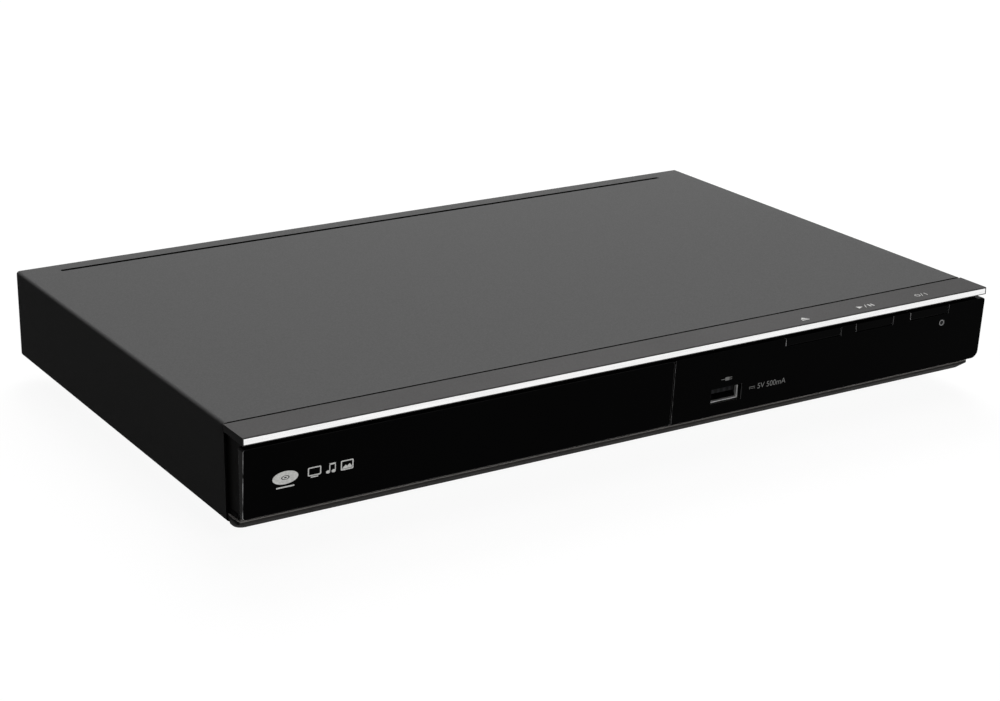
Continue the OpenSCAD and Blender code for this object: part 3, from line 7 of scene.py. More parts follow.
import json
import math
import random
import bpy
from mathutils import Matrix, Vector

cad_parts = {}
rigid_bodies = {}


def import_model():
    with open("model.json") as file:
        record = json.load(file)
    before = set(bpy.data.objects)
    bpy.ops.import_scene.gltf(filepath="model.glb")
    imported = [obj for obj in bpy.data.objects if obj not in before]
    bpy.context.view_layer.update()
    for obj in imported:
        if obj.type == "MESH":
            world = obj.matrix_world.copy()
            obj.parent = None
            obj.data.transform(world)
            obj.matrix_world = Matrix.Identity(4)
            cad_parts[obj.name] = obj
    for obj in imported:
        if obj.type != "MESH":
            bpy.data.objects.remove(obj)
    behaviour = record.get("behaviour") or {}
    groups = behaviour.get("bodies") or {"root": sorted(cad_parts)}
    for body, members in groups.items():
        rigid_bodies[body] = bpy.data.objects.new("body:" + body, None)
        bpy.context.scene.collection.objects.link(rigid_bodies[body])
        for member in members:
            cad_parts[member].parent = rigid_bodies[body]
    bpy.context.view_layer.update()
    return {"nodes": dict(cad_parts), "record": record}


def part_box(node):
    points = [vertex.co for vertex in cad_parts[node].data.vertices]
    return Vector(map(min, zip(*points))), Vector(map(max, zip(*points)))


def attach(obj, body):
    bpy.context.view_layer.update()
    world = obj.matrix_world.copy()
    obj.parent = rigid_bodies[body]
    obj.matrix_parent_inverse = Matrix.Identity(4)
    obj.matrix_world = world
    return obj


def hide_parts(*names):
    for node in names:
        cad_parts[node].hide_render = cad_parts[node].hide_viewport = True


bl_info = {
    "name": "Disc Player With Front Tray",
    "version": (1, 0, 0),
    "blender": (4, 5, 0),
    "location": "3D View > Sidebar > Disc Player",
    "description": "Builds the pieces, finishes and studio of a slim disc player",
    "category": "Object",
}

import bmesh
import bpy
from bpy.props import FloatProperty, FloatVectorProperty, IntProperty, PointerProperty
from bpy.types import Operator, Panel, PropertyGroup
from mathutils import Matrix, Vector
from mathutils.bvhtree import BVHTree

for leftover in list(bpy.data.objects):
    bpy.data.objects.remove(leftover)
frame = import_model()

BODY_OF = {n: b for b, nodes in frame["record"]["behaviour"]["bodies"].items() for n in nodes}
MM = 0.001
X, Y, Z = Vector((1, 0, 0)), Vector((0, 1, 0)), Vector((0, 0, 1))


# ---------------------------------------------------------------- sizes and colours


def colour_property(name, description, default):
    """A linear colour swatch."""
    return FloatVectorProperty(
        name=name, description=description, default=default, subtype="COLOR", size=3, min=0, max=1
    )


def length_property(name, description, default, low=0.0, high=1.0):
    """A length in metres."""
    return FloatProperty(
        name=name, description=description, default=default, min=low, max=high,
        unit="LENGTH", subtype="DISTANCE", precision=5,
    )


def angle_property(name, description, degrees):
    """An angle, given in degrees."""
    return FloatProperty(
        name=name, description=description, default=math.radians(degrees), subtype="ANGLE"
    )


def power_property(name, description, default):
    """A lamp's power in watts."""
    return FloatProperty(name=name, description=description, default=default, min=0, unit="POWER")


def share_property(name, description, default):
    """A share from 0 to 1."""
    return FloatProperty(
        name=name, description=description, default=default, min=0, max=1, subtype="FACTOR"
    )


class CoverSettings(PropertyGroup):
    """Finish of the steel cover and the sheet metal under it."""

    paint: colour_property(
        "Paint", "Colour of the cover's fine matte paint", (0.125, 0.125, 0.125)
    )
    roughness: share_property("Roughness", "How matte the paint is", 0.55)
    grain: length_property("Grain", "Size of the paint's fine grain", 0.00045, 0.0001, 0.005)
    zinc: colour_property("Zinc", "Colour of the bare zinc plated sheet", (0.40, 0.41, 0.41))
    rear_paint: colour_property("Rear paint", "Colour of the rear sheet", (0.018, 0.018, 0.018))


class FrontSettings(PropertyGroup):
    """Finish and edges of the front."""

    gloss: colour_property(
        "Gloss", "Colour of the door and the right panel", (0.0015, 0.0015, 0.0016)
    )
    strip: colour_property("Strip", "Colour of the top strip", (0.088, 0.086, 0.086))
    trim: colour_property("Trim", "Colour of the bright trim strip", (0.88, 0.88, 0.88))
    chin: colour_property("Chin", "Colour of the chin", (0.200, 0.190, 0.182))
    print_ink: colour_property("Print", "Colour of the printed marks", (0.42, 0.42, 0.41))
    ease: length_property(
        "Ease", "Radius that takes the sharpness off moulded edges", 0.00022, 0, 0.001
    )


class BackSettings(PropertyGroup):
    """Finish of the sockets and legends at the back."""

    ink: colour_property("Ink", "Colour of the legends on the rear sheet", (0.62, 0.62, 0.60))
    picture: colour_property(
        "Picture jack", "Colour of the picture jack's insert", (0.75, 0.53, 0.02)
    )
    left_sound: colour_property(
        "Left jack", "Colour of the left sound jack's insert", (0.78, 0.77, 0.74)
    )
    right_sound: colour_property(
        "Right jack", "Colour of the right sound jack's insert", (0.55, 0.03, 0.02)
    )


class LoaderSettings(PropertyGroup):
    """Finish of the tray and the works that carry it."""

    tray: colour_property("Tray", "Colour of the disc tray", (0.022, 0.022, 0.023))
    frame: colour_property(
        "Loader frame", "Colour of the loader's moulded frame", (0.04, 0.04, 0.043)
    )
    gear: colour_property("Gears", "Colour of the natural gear plastic", (0.78, 0.75, 0.66))
    cast: colour_property("Pickup", "Colour of the pickup's casting", (0.30, 0.31, 0.32))
    thread_depth: length_property("Thread", "Depth of the lead screw's thread", 0.0003, 0, 0.0006)


class BoardSettings(PropertyGroup):
    """Finish of the circuit boards and their parts."""

    mask: colour_property("Solder mask", "Colour of the main board", (0.018, 0.115, 0.045))
    phenolic: colour_property("Phenolic", "Colour of the power board", (0.33, 0.20, 0.07))
    seed: IntProperty(name="Seed", description="Places of the small board parts", default=7, min=0)


class StudioSettings(PropertyGroup):
    """Camera, lamps and floor."""

    azimuth: angle_property("Azimuth", "Camera's angle round the player", -31.853)
    elevation: angle_property("Elevation", "Camera's angle above the table", 19.302)
    roll: angle_property("Roll", "Camera's turn about its own line of sight", 0.619)
    distance: length_property("Distance", "From the camera to its target", 0.86882, 0.1, 5)
    target: FloatVectorProperty(
        name="Target", description="Point that the camera looks at",
        default=(0.000568, -0.0041, 0.013948), subtype="TRANSLATION", unit="LENGTH", precision=5,
    )
    lens: FloatProperty(
        name="Lens", description="Focal length over a 36 mm wide frame, in millimetres",
        default=80.923, min=10, max=300,
    )
    sky: share_property("Sky", "Strength of the even light from above", 0.10)
    floor_bounce: share_property("Floor bounce", "How much light the floor sends back up", 0.02)
    key_power: power_property("Key lamp", "The large lamp behind at the right", 13.8)
    top_power: power_property("Top lamp", "The wide lamp overhead", 4.5)
    front_power: power_property("Front lamp", "The lamp before the player", 7.0)


# ---------------------------------------------------------------- finishes


def finish(
    name, colour, roughness, metallic=0.0, specular=0.5, mottle=None, sheen=None, **sockets
):
    """A fresh material whose even values sit on the shader's own sockets.

    mottle is the size and detail of a grain and how far the colour wanders with it;
    sheen is the size and detail of another and the two ends of the roughness.
    """
    material = bpy.data.materials.get(name) or bpy.data.materials.new(name)
    material.use_nodes = True
    material.node_tree.nodes.clear()
    even = {
        "Base Color": (*colour, 1.0),
        "Roughness": roughness,
        "Metallic": metallic,
        "Specular IOR Level": specular,
    }
    even.update({key.replace("_", " "): value for key, value in sockets.items()})
    surface = wired(material, "BsdfPrincipled", even, name="surface")["BSDF"]
    wired(material, "OutputMaterial", {"Surface": surface})
    if mottle:
        size, detail, amount = mottle
        mottled(material, grain(material, size, detail=detail), colour, amount)
    if sheen:
        size, detail, *ends = sheen
        uneven(material, grain(material, size, detail=detail), *ends)
    return material


def wired(owner, kind, inputs=(), **settings):
    """A node's outputs; each of its inputs is a number, a colour or another node's output."""
    tree = owner.node_tree
    made = tree.nodes.new("ShaderNode" + kind)
    for setting, value in settings.items():
        setattr(made, setting, value)
    for socket, value in dict(inputs).items():
        if isinstance(value, bpy.types.NodeSocket):
            tree.links.new(value, made.inputs[socket])
        else:
            made.inputs[socket].default_value = value
    return made.outputs


def coordinates(material):
    """The piece's own coordinates, in metres in the player's frame."""
    return wired(material, "TexCoord")["Object"]


def axis_of(material, vector, axis):
    """One axis of a vector."""
    return wired(material, "SeparateXYZ", {0: vector})["XYZ".index(axis)]


def grain(material, size, stretch=(1, 1, 1), detail=2.0):
    """Noise with features of that size in metres."""
    scale = [s / size for s in stretch]
    place = wired(material, "Mapping", {"Vector": coordinates(material), "Scale": scale})
    noise = {"Vector": place["Vector"], "Scale": 1.0, "Detail": detail}
    return wired(material, "TexNoise", noise)["Fac"]


def cells(material, size, feature="DISTANCE_TO_EDGE"):
    """Cells of that size in metres."""
    inputs = {"Vector": coordinates(material), "Scale": 1.0 / size}
    return wired(material, "TexVoronoi", inputs, feature=feature)["Distance"]


def spread(material, source, low, high, out_low=0.0, out_high=1.0):
    """Maps low..high of a source to out_low..out_high."""
    ends = {"From Min": low, "From Max": high, "To Min": out_low, "To Max": out_high}
    return wired(material, "MapRange", {"Value": source, **ends})["Result"]


def mix_colours(material, factor, *pair):
    """Blend of two colours, each a tuple or another node's output."""
    first, second = (c if isinstance(c, bpy.types.NodeSocket) else (*c, 1.0) for c in pair)
    return wired(material, "Mix", {0: factor, 6: first, 7: second}, data_type="RGBA")[2]


def arithmetic(material, operation, *values):
    """A Math node over numbers and outputs."""
    return wired(material, "Math", enumerate(values), operation=operation)[0]


def within(material, axis, low, high):
    """1 where the piece's coordinate on that axis lies between low and high, else 0."""
    value = axis_of(material, coordinates(material), axis)
    above = arithmetic(material, "GREATER_THAN", value, low)
    return arithmetic(material, "MULTIPLY", above, arithmetic(material, "LESS_THAN", value, high))


def set_socket(material, socket, source):
    """Drives a shader socket by a varying source."""
    tree = material.node_tree
    tree.links.new(source, tree.nodes["surface"].inputs[socket])
    return material


def tone(colour, factor):
    """The colour made lighter or darker."""
    return tuple(min(1.0, c * factor) for c in colour)


def mottled(material, source, colour, amount, low=0.35, high=0.65):
    """Base colour that wanders round the given one."""
    factor = spread(material, source, low, high)
    shown = mix_colours(material, factor, tone(colour, 1 - amount), tone(colour, 1 + amount))
    return set_socket(material, "Base Color", shown)


def overlaid(material, factor, colour):
    """Base colour that turns into another where the factor is 1."""
    base = material.node_tree.nodes["surface"].inputs["Base Color"]
    below = base.links[0].from_socket if base.is_linked else base.default_value[:3]
    return set_socket(material, "Base Color", mix_colours(material, factor, below, colour))


def uneven(material, source, smooth, rough):
    """Roughness that wanders between two values."""
    return set_socket(material, "Roughness", spread(material, source, 0.3, 0.7, smooth, rough))


def relief(material, source, height, strength):
    """Fine relief of that height in metres."""
    inputs = {"Height": source, "Distance": height, "Strength": strength}
    return set_socket(material, "Normal", wired(material, "Bump", inputs)["Normal"])


def moulded(name, colour, roughness, specular=0.5, texture=0.0006):
    """Moulded plastic: a faint spark-eroded texture and slow changes of sheen."""
    material = finish(
        name, colour, roughness, specular=specular,
        mottle=(0.012, 2, 0.06), sheen=(0.007, 4, roughness * 0.88, min(1, roughness * 1.15)),
    )
    return relief(material, grain(material, texture, detail=3), 0.00001, 0.6)


def brushed(name, colour, roughness, along, height=0.000004):
    """Metal with fine lines along one direction."""
    material = finish(name, colour, roughness, metallic=1.0)
    lines = grain(material, 0.0004, stretch=along, detail=3)
    mottled(material, lines, colour, 0.05)
    uneven(material, lines, roughness * 0.75, roughness * 1.3)
    return relief(material, lines, height, 0.5)


def facing(material, axis, low, high):
    """How far a face looks along that axis, mapped from low..high to 0..1."""
    normal = wired(material, "NewGeometry")["Normal"]
    return spread(material, axis_of(material, normal, axis), low, high)


def edge_glint_finish(name, plain, bright, roughness=0.12, front=None):
    """An edge finish with a painted highlight on its upright sideways parts, broken into random
    patches; front paints shade on what looks forward.
    """
    material = finish(name, plain, roughness, specular=0.05)
    sideways = arithmetic(
        material, "ADD", facing(material, "X", 0.2, 0.5), facing(material, "X", -0.2, -0.5)
    )
    upright = arithmetic(material, "MULTIPLY", sideways, facing(material, "Z", 0.6, 0.3))
    glint_patches = spread(material, grain(material, 0.004, detail=5), 0.3, 0.6)
    shown = arithmetic(material, "MULTIPLY", upright, glint_patches)
    # painted highlight: bright colour and metal on upright edges that look sideways
    overlaid(material, shown, bright)
    if front is not None:
        # painted shade on edge faces that look forward
        overlaid(material, facing(material, "Y", -0.15, -0.5), front)
    return set_socket(material, "Metallic", shown)


def rubbery(name, colour):
    """Dull rubber with a bloom of paler dust."""
    material = finish(name, colour, 0.82, specular=0.3, mottle=(0.003, 5, 0.25))
    return relief(material, grain(material, 0.0005), 0.00002, 0.7)


def inked(name, colour, metallic=0.0):
    """Printed ink with the soft unevenness of a pad print."""
    return finish(name, colour, 0.5, metallic=metallic, specular=0.2, mottle=(0.0006, 4, 0.12))


def dress(material, *nodes):
    """Gives carried-over solids their finish."""
    for name in nodes:
        piece = frame["nodes"][name]
        if not piece.material_slots:
            piece.data.materials.append(material)
        piece.material_slots[0].material = material


# ---------------------------------------------------------------- making pieces

SHARP = math.radians(35)  # steeper edges stay crisp
WELD = 2e-6  # points closer than this are one
TIP = 1e-7  # a ring smaller than this is a single point


def placed(name, data):
    """A new object in the scene, in place of any of that name."""
    previous = bpy.data.objects.get(name)
    if previous:
        bpy.data.objects.remove(previous)
    thing = bpy.data.objects.new(name, data)
    bpy.context.scene.collection.objects.link(thing)
    return thing


def settle(name, bm, materials, body, stands_for=()):
    """Closes a bmesh into a piece with outward faces that rides on a body."""
    bmesh.ops.recalc_face_normals(bm, faces=bm.faces[:])
    mesh = bpy.data.meshes.new(name)
    bm.to_mesh(mesh)
    bm.free()
    for material in materials:
        mesh.materials.append(material)
    mesh.shade_smooth()
    mesh.set_sharp_from_angle(angle=SHARP)
    piece = placed(name, mesh)
    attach(piece, body)
    if stands_for:
        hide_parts(*stands_for)
    return piece


def stand_in(node, ending, bm, *materials):
    """A piece in the place of a node's own solids."""
    return settle(node + ending, bm, materials, BODY_OF[node], [node])


def welded(node):
    """A node's own faces, with the points that meet made one."""
    bm = bmesh.new()
    bm.from_mesh(frame["nodes"][node].data)
    bmesh.ops.remove_doubles(bm, verts=bm.verts[:], dist=WELD)
    return bm


def eased(node, material, radius, segments=2, angle=30.0, where=None, rim=None):
    """A piece with a node's own faces and rounded edges, in the node's place.

    Where a test of a point is given, only the edges that pass it are rounded.
    The rounded edges can have a finish of their own, which carries a painted highlight.
    """
    bm = welded(node)
    bmesh.ops.dissolve_limit(
        bm, angle_limit=math.radians(0.5), verts=bm.verts[:], edges=bm.edges[:]
    )
    if where:
        weight = bm.edges.layers.float.new("bevel_weight_edge")
        for edge in bm.edges:
            if edge.calc_face_angle(0) > math.radians(angle):
                edge[weight] = float(all(where(vert.co) for vert in edge.verts))
    finishes = [material, rim] if rim else [material]
    piece = stand_in(node, "_piece", bm, *finishes)
    bevel = piece.modifiers.new("ease", "BEVEL")
    bevel.width = radius
    bevel.segments = segments
    bevel.limit_method = "WEIGHT" if where else "ANGLE"
    bevel.angle_limit = math.radians(angle)
    bevel.use_clamp_overlap = True
    bevel.harden_normals = True
    if rim:
        bevel.material = 1
    return piece


def islands(node):
    """Points of each separate solid of a node."""
    bm = welded(node)
    waiting = set(bm.verts)
    found = []
    while waiting:
        start = min(waiting, key=lambda v: v.index)
        waiting.remove(start)
        group, edge_of_group = [start], [start]
        while edge_of_group:
            for edge in edge_of_group.pop().link_edges:
                for vert in edge.verts:
                    if vert in waiting:
                        waiting.remove(vert)
                        group.append(vert)
                        edge_of_group.append(vert)
        found.append([v.co.copy() for v in group])
    bm.free()
    return found


def rebuilt(node, build, *materials):
    """A piece in which each separate solid of a node is built anew."""
    bm = bmesh.new()
    for points in islands(node):
        build(bm, points)
    return stand_in(node, "_set", bm, *materials)


def box_of(points):
    """Lowest and highest corner of some points."""
    low = Vector([min(p[i] for p in points) for i in range(3)])
    high = Vector([max(p[i] for p in points) for i in range(3)])
    return low, high


def corners(bm, matrix, places):
    """New points of a bmesh, placed by the matrix."""
    return [bm.verts.new(matrix @ Vector(place)) for place in places]


def circle(around):
    """Cosine and sine of evenly spaced directions."""
    turns = [math.tau * i / around for i in range(around)]
    return [(math.cos(turn), math.sin(turn)) for turn in turns]


def skin(bm, rings, material=0, capped=False):
    """Faces between each ring of points and the next; a ring of one point is a tip."""
    made = []
    for low, high in zip(rings, rings[1:]):
        count = max(len(low), len(high))
        for i in range(count):
            j = (i + 1) % count
            round_it = (
                low[i % len(low)], low[j % len(low)], high[j % len(high)], high[i % len(high)]
            )
            made.append(bm.faces.new(list(dict.fromkeys(round_it))))
    if capped:
        made += [bm.faces.new(rings[0][::-1]), bm.faces.new(rings[-1])]
    for face in made:
        face.material_index = material
    return made


def turned(bm, profile, matrix, around=32):
    """Rings of points through a profile of (radius, height) round the matrix's Z axis."""
    return [
        corners(bm, matrix, [(r * c, r * s, z) for c, s in circle(around if r > TIP else 1)])
        for r, z in profile
    ]


def loft(bm, sections, matrix, material=0):
    """A closed solid through outlines of (x, y) points, each at its own height."""
    rings = [corners(bm, matrix, [(*p, height) for p in outline]) for outline, height in sections]
    skin(bm, rings, material, capped=True)


def prism(bm, outline, matrix, thickness, material=0):
    """A flat outline of (x, y) points raised along the matrix's Z axis."""
    loft(bm, [(outline, 0), (outline, thickness)], matrix, material)


def block(bm, low, high, ease, material=0):
    """An upright block with a chamfer round its top and bottom."""
    middle, size = (low + high) / 2, high - low
    full = rectangle(0, 0, size.x, size.y)
    inset = rectangle(0, 0, size.x - 2 * ease, size.y - 2 * ease)
    at = Matrix.Translation((middle.x, middle.y, low.z))
    loft(bm, [(inset, 0), (full, ease), (full, size.z - ease), (inset, size.z)], at, material)


def ring_sector(bm, centre, outer, inner, matrix, thickness, start=0.0, sweep=360.0, squeeze=1.0):
    """A flat ring or part of one; squeeze flattens it into an ellipse."""
    steps = max(8, int(sweep / 8))
    full = sweep == 360
    rings = []
    for i in range(steps if full else steps + 1):
        a = math.radians(start + sweep * i / steps)
        unit = Vector((math.cos(a), math.sin(a) * squeeze, 0))
        section = ((outer, 0), (outer, thickness), (inner, thickness), (inner, 0))
        places = [Vector((*centre, 0)) + unit * r + Z * h for r, h in section]
        rings.append(corners(bm, matrix, places))
    skin(bm, rings + rings[:1] if full else rings, capped=not full)


def rectangle(x, y, width, height):
    """Outline of a rectangle round its centre."""
    w, h = width / 2, height / 2
    return [(x - w, y - h), (x + w, y - h), (x + w, y + h), (x - w, y + h)]


def rounded(x, y, width, height, radius, steps=4):
    """Outline of a rectangle with round corners, round its centre."""
    points = []
    for corner, (sx, sy) in enumerate(((1, -1), (1, 1), (-1, 1), (-1, -1))):
        cx, cy = x + sx * (width / 2 - radius), y + sy * (height / 2 - radius)
        for i in range(steps + 1):
            a = math.radians(-90 + 90 * corner + 90 * i / steps)
            points.append((cx + radius * math.cos(a), cy + radius * math.sin(a)))
    return points


def hollow(bm, outline, inner, matrix, thickness):
    """A flat frame between two outlines with the same number of points."""
    rings = [
        corners(bm, matrix, ((*a, 0), (*a, thickness), (*b, thickness), (*b, 0)))
        for a, b in zip(outline, inner)
    ]
    skin(bm, rings + rings[:1])


def cross(arm, half):
    """Outline of a cross, from the reach of its arms and half their width."""
    quarter = ((half, -half), (arm, -half), (arm, half))
    return [(x * c - y * s, x * s + y * c) for c, s in circle(4) for x, y in quarter]


def lettering(bm, words, size, matrix, thickness):
    """Plain legend letters, centred on the matrix's origin."""
    curve = bpy.data.curves.new("letters", "FONT")
    curve.body = words
    curve.size = size
    curve.align_x = "CENTER"
    curve.align_y = "CENTER"
    curve.extrude = thickness / 2
    holder = bpy.data.objects.new("letters", curve)
    bpy.context.scene.collection.objects.link(holder)
    mesh = bpy.data.meshes.new_from_object(
        holder.evaluated_get(bpy.context.evaluated_depsgraph_get())
    )
    mesh.transform(matrix @ Matrix.Translation((0, 0, thickness / 2)))
    bm.from_mesh(mesh)
    bpy.data.meshes.remove(mesh)
    bpy.data.objects.remove(holder)
    bpy.data.curves.remove(curve)


def plane_at(origin, right, up):
    """Matrix whose X and Y run right and up on a face, and whose Z leaves it."""
    right, up = Vector(right).normalized(), Vector(up).normalized()
    out = right.cross(up)
    rows = Matrix((right, up, out)).transposed().to_4x4()
    return Matrix.Translation(Vector(origin)) @ rows


# ---------------------------------------------------------------- places on the player

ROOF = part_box("top_strip")[1].z
PANEL_LOW, PANEL_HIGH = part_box("front_panel")
FACE_TOP = PANEL_LOW.y
LEAN = 1.8 * MM  # how far the gloss front leans back over its height
IN_MM = Matrix.Scale(MM, 4)  # lets outlines be given in millimetres
PRINT = 0.03  # thickness of the ink in millimetres
STRIP_MARKS = 1.22  # how much larger the keys' marks are than their outlines
BOARD_THICK = 1.65 * MM  # a board with its solder mask
ABOVE = 1.0  # beyond any point of the player, in metres


def face_at(x, z):
    """A plane in millimetres on the leaning gloss front, at that x and height in them."""
    x, z = x * MM, z * MM
    height = PANEL_HIGH.z - PANEL_LOW.z
    y = FACE_TOP + LEAN * (PANEL_HIGH.z - z) / height
    return plane_at((x, y, z), X, (0, -LEAN, height)) @ IN_MM


def strip_at(x, y):
    """A plane on top of the strip over the front, on which outlines come out enlarged."""
    return plane_at((x * MM, y * MM, ROOF), X, Y) @ IN_MM @ Matrix.Scale(STRIP_MARKS, 4)


def sheet_at(x, z):
    """A plane in millimetres on the outside of the rear sheet, at that height over the jacks."""
    jacks = sum(corner.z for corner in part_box("jack_sleeves")) / 2
    return plane_at((x * MM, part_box("rear_panel")[1].y, jacks + z * MM), -X, Z) @ IN_MM


# ---------------------------------------------------------------- pieces


class PLAYER_OT_cover(Operator):
    """Finish the steel cover with its rear slot"""

    bl_idname = "player.cover"
    bl_label = "Steel Cover"

    def execute(self, context):
        look = context.scene.player_cover
        paint = finish("cover_paint", look.paint, look.roughness, specular=0.002)
        fine = grain(paint, look.grain, detail=3)
        mottled(paint, fine, look.paint, 0.08)
        # Painted shade: faces that look forward, such as the sheet's cut edge in the seam behind
        # the strip, are painted nearly black.
        overlaid(paint, facing(paint, "Y", -0.6, -0.9), tone(look.paint, 0.03))
        uneven(paint, grain(paint, 0.004, detail=4), look.roughness * 0.96, look.roughness * 1.04)
        relief(paint, fine, 0.000018, 0.5)
        # Painted highlight on the cover's upright edges, and painted shade on its forward-looking
        # edge faces.
        rim = edge_glint_finish("cover_edge_glint", look.paint, (0.30,) * 3, 0.5, tone(look.paint, 0.03))
        eased("top_cover", paint, 0.12 * MM, rim=rim)
        return {"FINISHED"}


class PLAYER_OT_strip(Operator):
    """Build the top strip and the bright trim under it"""

    bl_idname = "player.strip"
    bl_label = "Strip and Trim"

    def execute(self, context):
        look = context.scene.player_front
        satin = finish("strip_satin", look.strip, 0.34, specular=0.005)
        mottled(satin, grain(satin, 0.0005, detail=3), look.strip, 0.07)
        # Painted shade: faces that look to the left are painted far darker.
        overlaid(satin, facing(satin, "X", -0.6, -0.9), tone(look.strip, 0.1))
        uneven(satin, grain(satin, 0.03, detail=3), 0.30, 0.38)
        relief(satin, grain(satin, 0.0004), 0.000006, 0.5)
        eased("top_strip", satin, look.ease)
        bright = brushed("bright_trim", look.trim, 0.24, along=(0.02, 1, 1), height=0.000001)
        eased("silver_trim", bright, 0.12 * MM)
        return {"FINISHED"}


class PLAYER_OT_gloss_front(Operator):
    """Build the gloss tray door and the gloss panel at its right"""

    bl_idname = "player.gloss_front"
    bl_label = "Gloss Front"

    def execute(self, context):
        look = context.scene.player_front
        for node, name in (("tray_door", "door_gloss"), ("front_panel", "panel_gloss")):
            gloss = finish(
                name, look.gloss, 0.05, specular=0.010,
                mottle=(0.05, 2, 0.10), sheen=(0.02, 5, 0.035, 0.07),
            )
            relief(gloss, grain(gloss, 0.03), 0.00001, 0.15)
            # Painted highlight on the upright edges of the door and the panel.
            eased(node, gloss, look.ease, rim=edge_glint_finish("front_edge_glint", look.gloss, (0.20,) * 3))
        return {"FINISHED"}


class PLAYER_OT_frame(Operator):
    """Build the front frame with its chin"""

    bl_idname = "player.frame"
    bl_label = "Front Frame"

    def execute(self, context):
        look = context.scene.player_front
        # Painted light on the chin: its lower slope takes a dark tone as painted shade, and the
        # ridge band above is lightened as a painted highlight.
        satin = finish("frame_satin", tone(look.chin, 0.28), 0.42, specular=0.004)
        ridge, body = PANEL_LOW.z - 2.65 * MM, PANEL_LOW.z - 1.2 * MM
        # The ridge band is a painted highlight; the grain adds random darkening; faces that look to
        # the left and the frame above the chin, inside the recess, are painted nearly black as
        # painted shade.
        for factor, colour in (
            (within(satin, "Z", ridge, ABOVE), tone(look.chin, 1.65)),
            (spread(satin, grain(satin, 0.012), 0.35, 0.65, 0.0, 0.1), (0, 0, 0)),
            (facing(satin, "X", -0.35, -0.8), tone(look.chin, 0.05)),
            (within(satin, "Z", body, ABOVE), tone(look.chin, 0.05)),
        ):
            overlaid(satin, factor, colour)
        uneven(satin, grain(satin, 0.007, detail=4), 0.37, 0.48)
        relief(satin, grain(satin, 0.0006, detail=3), 0.00001, 0.6)
        ledge, behind = PANEL_LOW.z - 1 * MM, PANEL_HIGH.y + 9 * MM
        eased(
            "front_frame", satin, 0.3 * MM, segments=3, angle=25,
            where=lambda p: p.z < ledge and p.y < behind,
        )
        return {"FINISHED"}


class PLAYER_OT_keys(Operator):
    """Build the three long keys, the indicator and the parts behind them"""

    bl_idname = "player.keys"
    bl_label = "Keys and Indicator"

    def execute(self, context):
        look = context.scene.player_front
        gloss = finish(
            "key_gloss", tone(look.gloss, 1.2), 0.07, specular=0.015,
            sheen=(0.008, 4, 0.05, 0.10),
        )
        for node in ("eject_key", "play_key", "power_key"):
            # Painted highlight, nearly white, on the keys' upright edges.
            eased(node, gloss, 0.2 * MM, rim=edge_glint_finish("key_edge_glint", look.gloss, (0.95,) * 3))
        self.indicator()
        lamp = finish(
            "lamp_epoxy", (0.72, 0.74, 0.70), 0.12, Transmission_Weight=0.6,
            mottle=(0.002, 2, 0.06),
        )
        dress(lamp, "indicator_lamp")
        dark = finish("receiver_epoxy", (0.012, 0.008, 0.014), 0.1, sheen=(0.002, 2, 0.07, 0.14))
        dress(dark, "remote_receiver")
        dress(moulded("switch_plastic", (0.02, 0.02, 0.021), 0.45), "tact_switches")
        return {"FINISHED"}

    def indicator(self):
        """A smoked light guide whose chamfered rim round its face has a bright metal finish, a
        painted glint.
        """
        smoke = finish("smoked_lens", (0.006, 0.006, 0.007), 0.06, specular=0.05)
        mottled(smoke, grain(smoke, 0.001), (0.012, 0.012, 0.014), 0.15)
        # Painted glint: the real chamfered rim round the lens face is given a bright metal finish.
        ring = brushed("indicator_rim_glint", (0.20, 0.20, 0.20), 0.22, along=(1, 1, 1))
        low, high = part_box("indicator_lens")
        middle = (low + high) / 2
        radius, flange = 1.25 * MM, (high.x - low.x) / 2
        back = low.y - high.y
        collar = -5.99 * MM
        bm = bmesh.new()
        at = plane_at((middle.x, low.y, middle.z), X, Z)
        profile = [
            (0, back), (radius, back), (radius, collar - 1 * MM), (flange, collar - 1 * MM),
            (flange, collar), (radius, collar), (radius, -0.18 * MM), (radius - 0.12 * MM, 0),
            (radius - 0.42 * MM, 0), (radius - 0.5 * MM, -0.2 * MM), (radius * 0.3, -0.06 * MM),
            (0, -0.04 * MM),
        ]
        faces = skin(bm, turned(bm, profile, at))
        for face in faces:
            heights = [v.co.y - low.y for v in face.verts]
            spans = [math.hypot(v.co.x - middle.x, v.co.z - middle.z) for v in face.verts]
            if max(heights) < 0.25 * MM and min(spans) > radius * 0.55:
                face.material_index = 1
        stand_in("indicator_lens", "_piece", bm, smoke, ring)


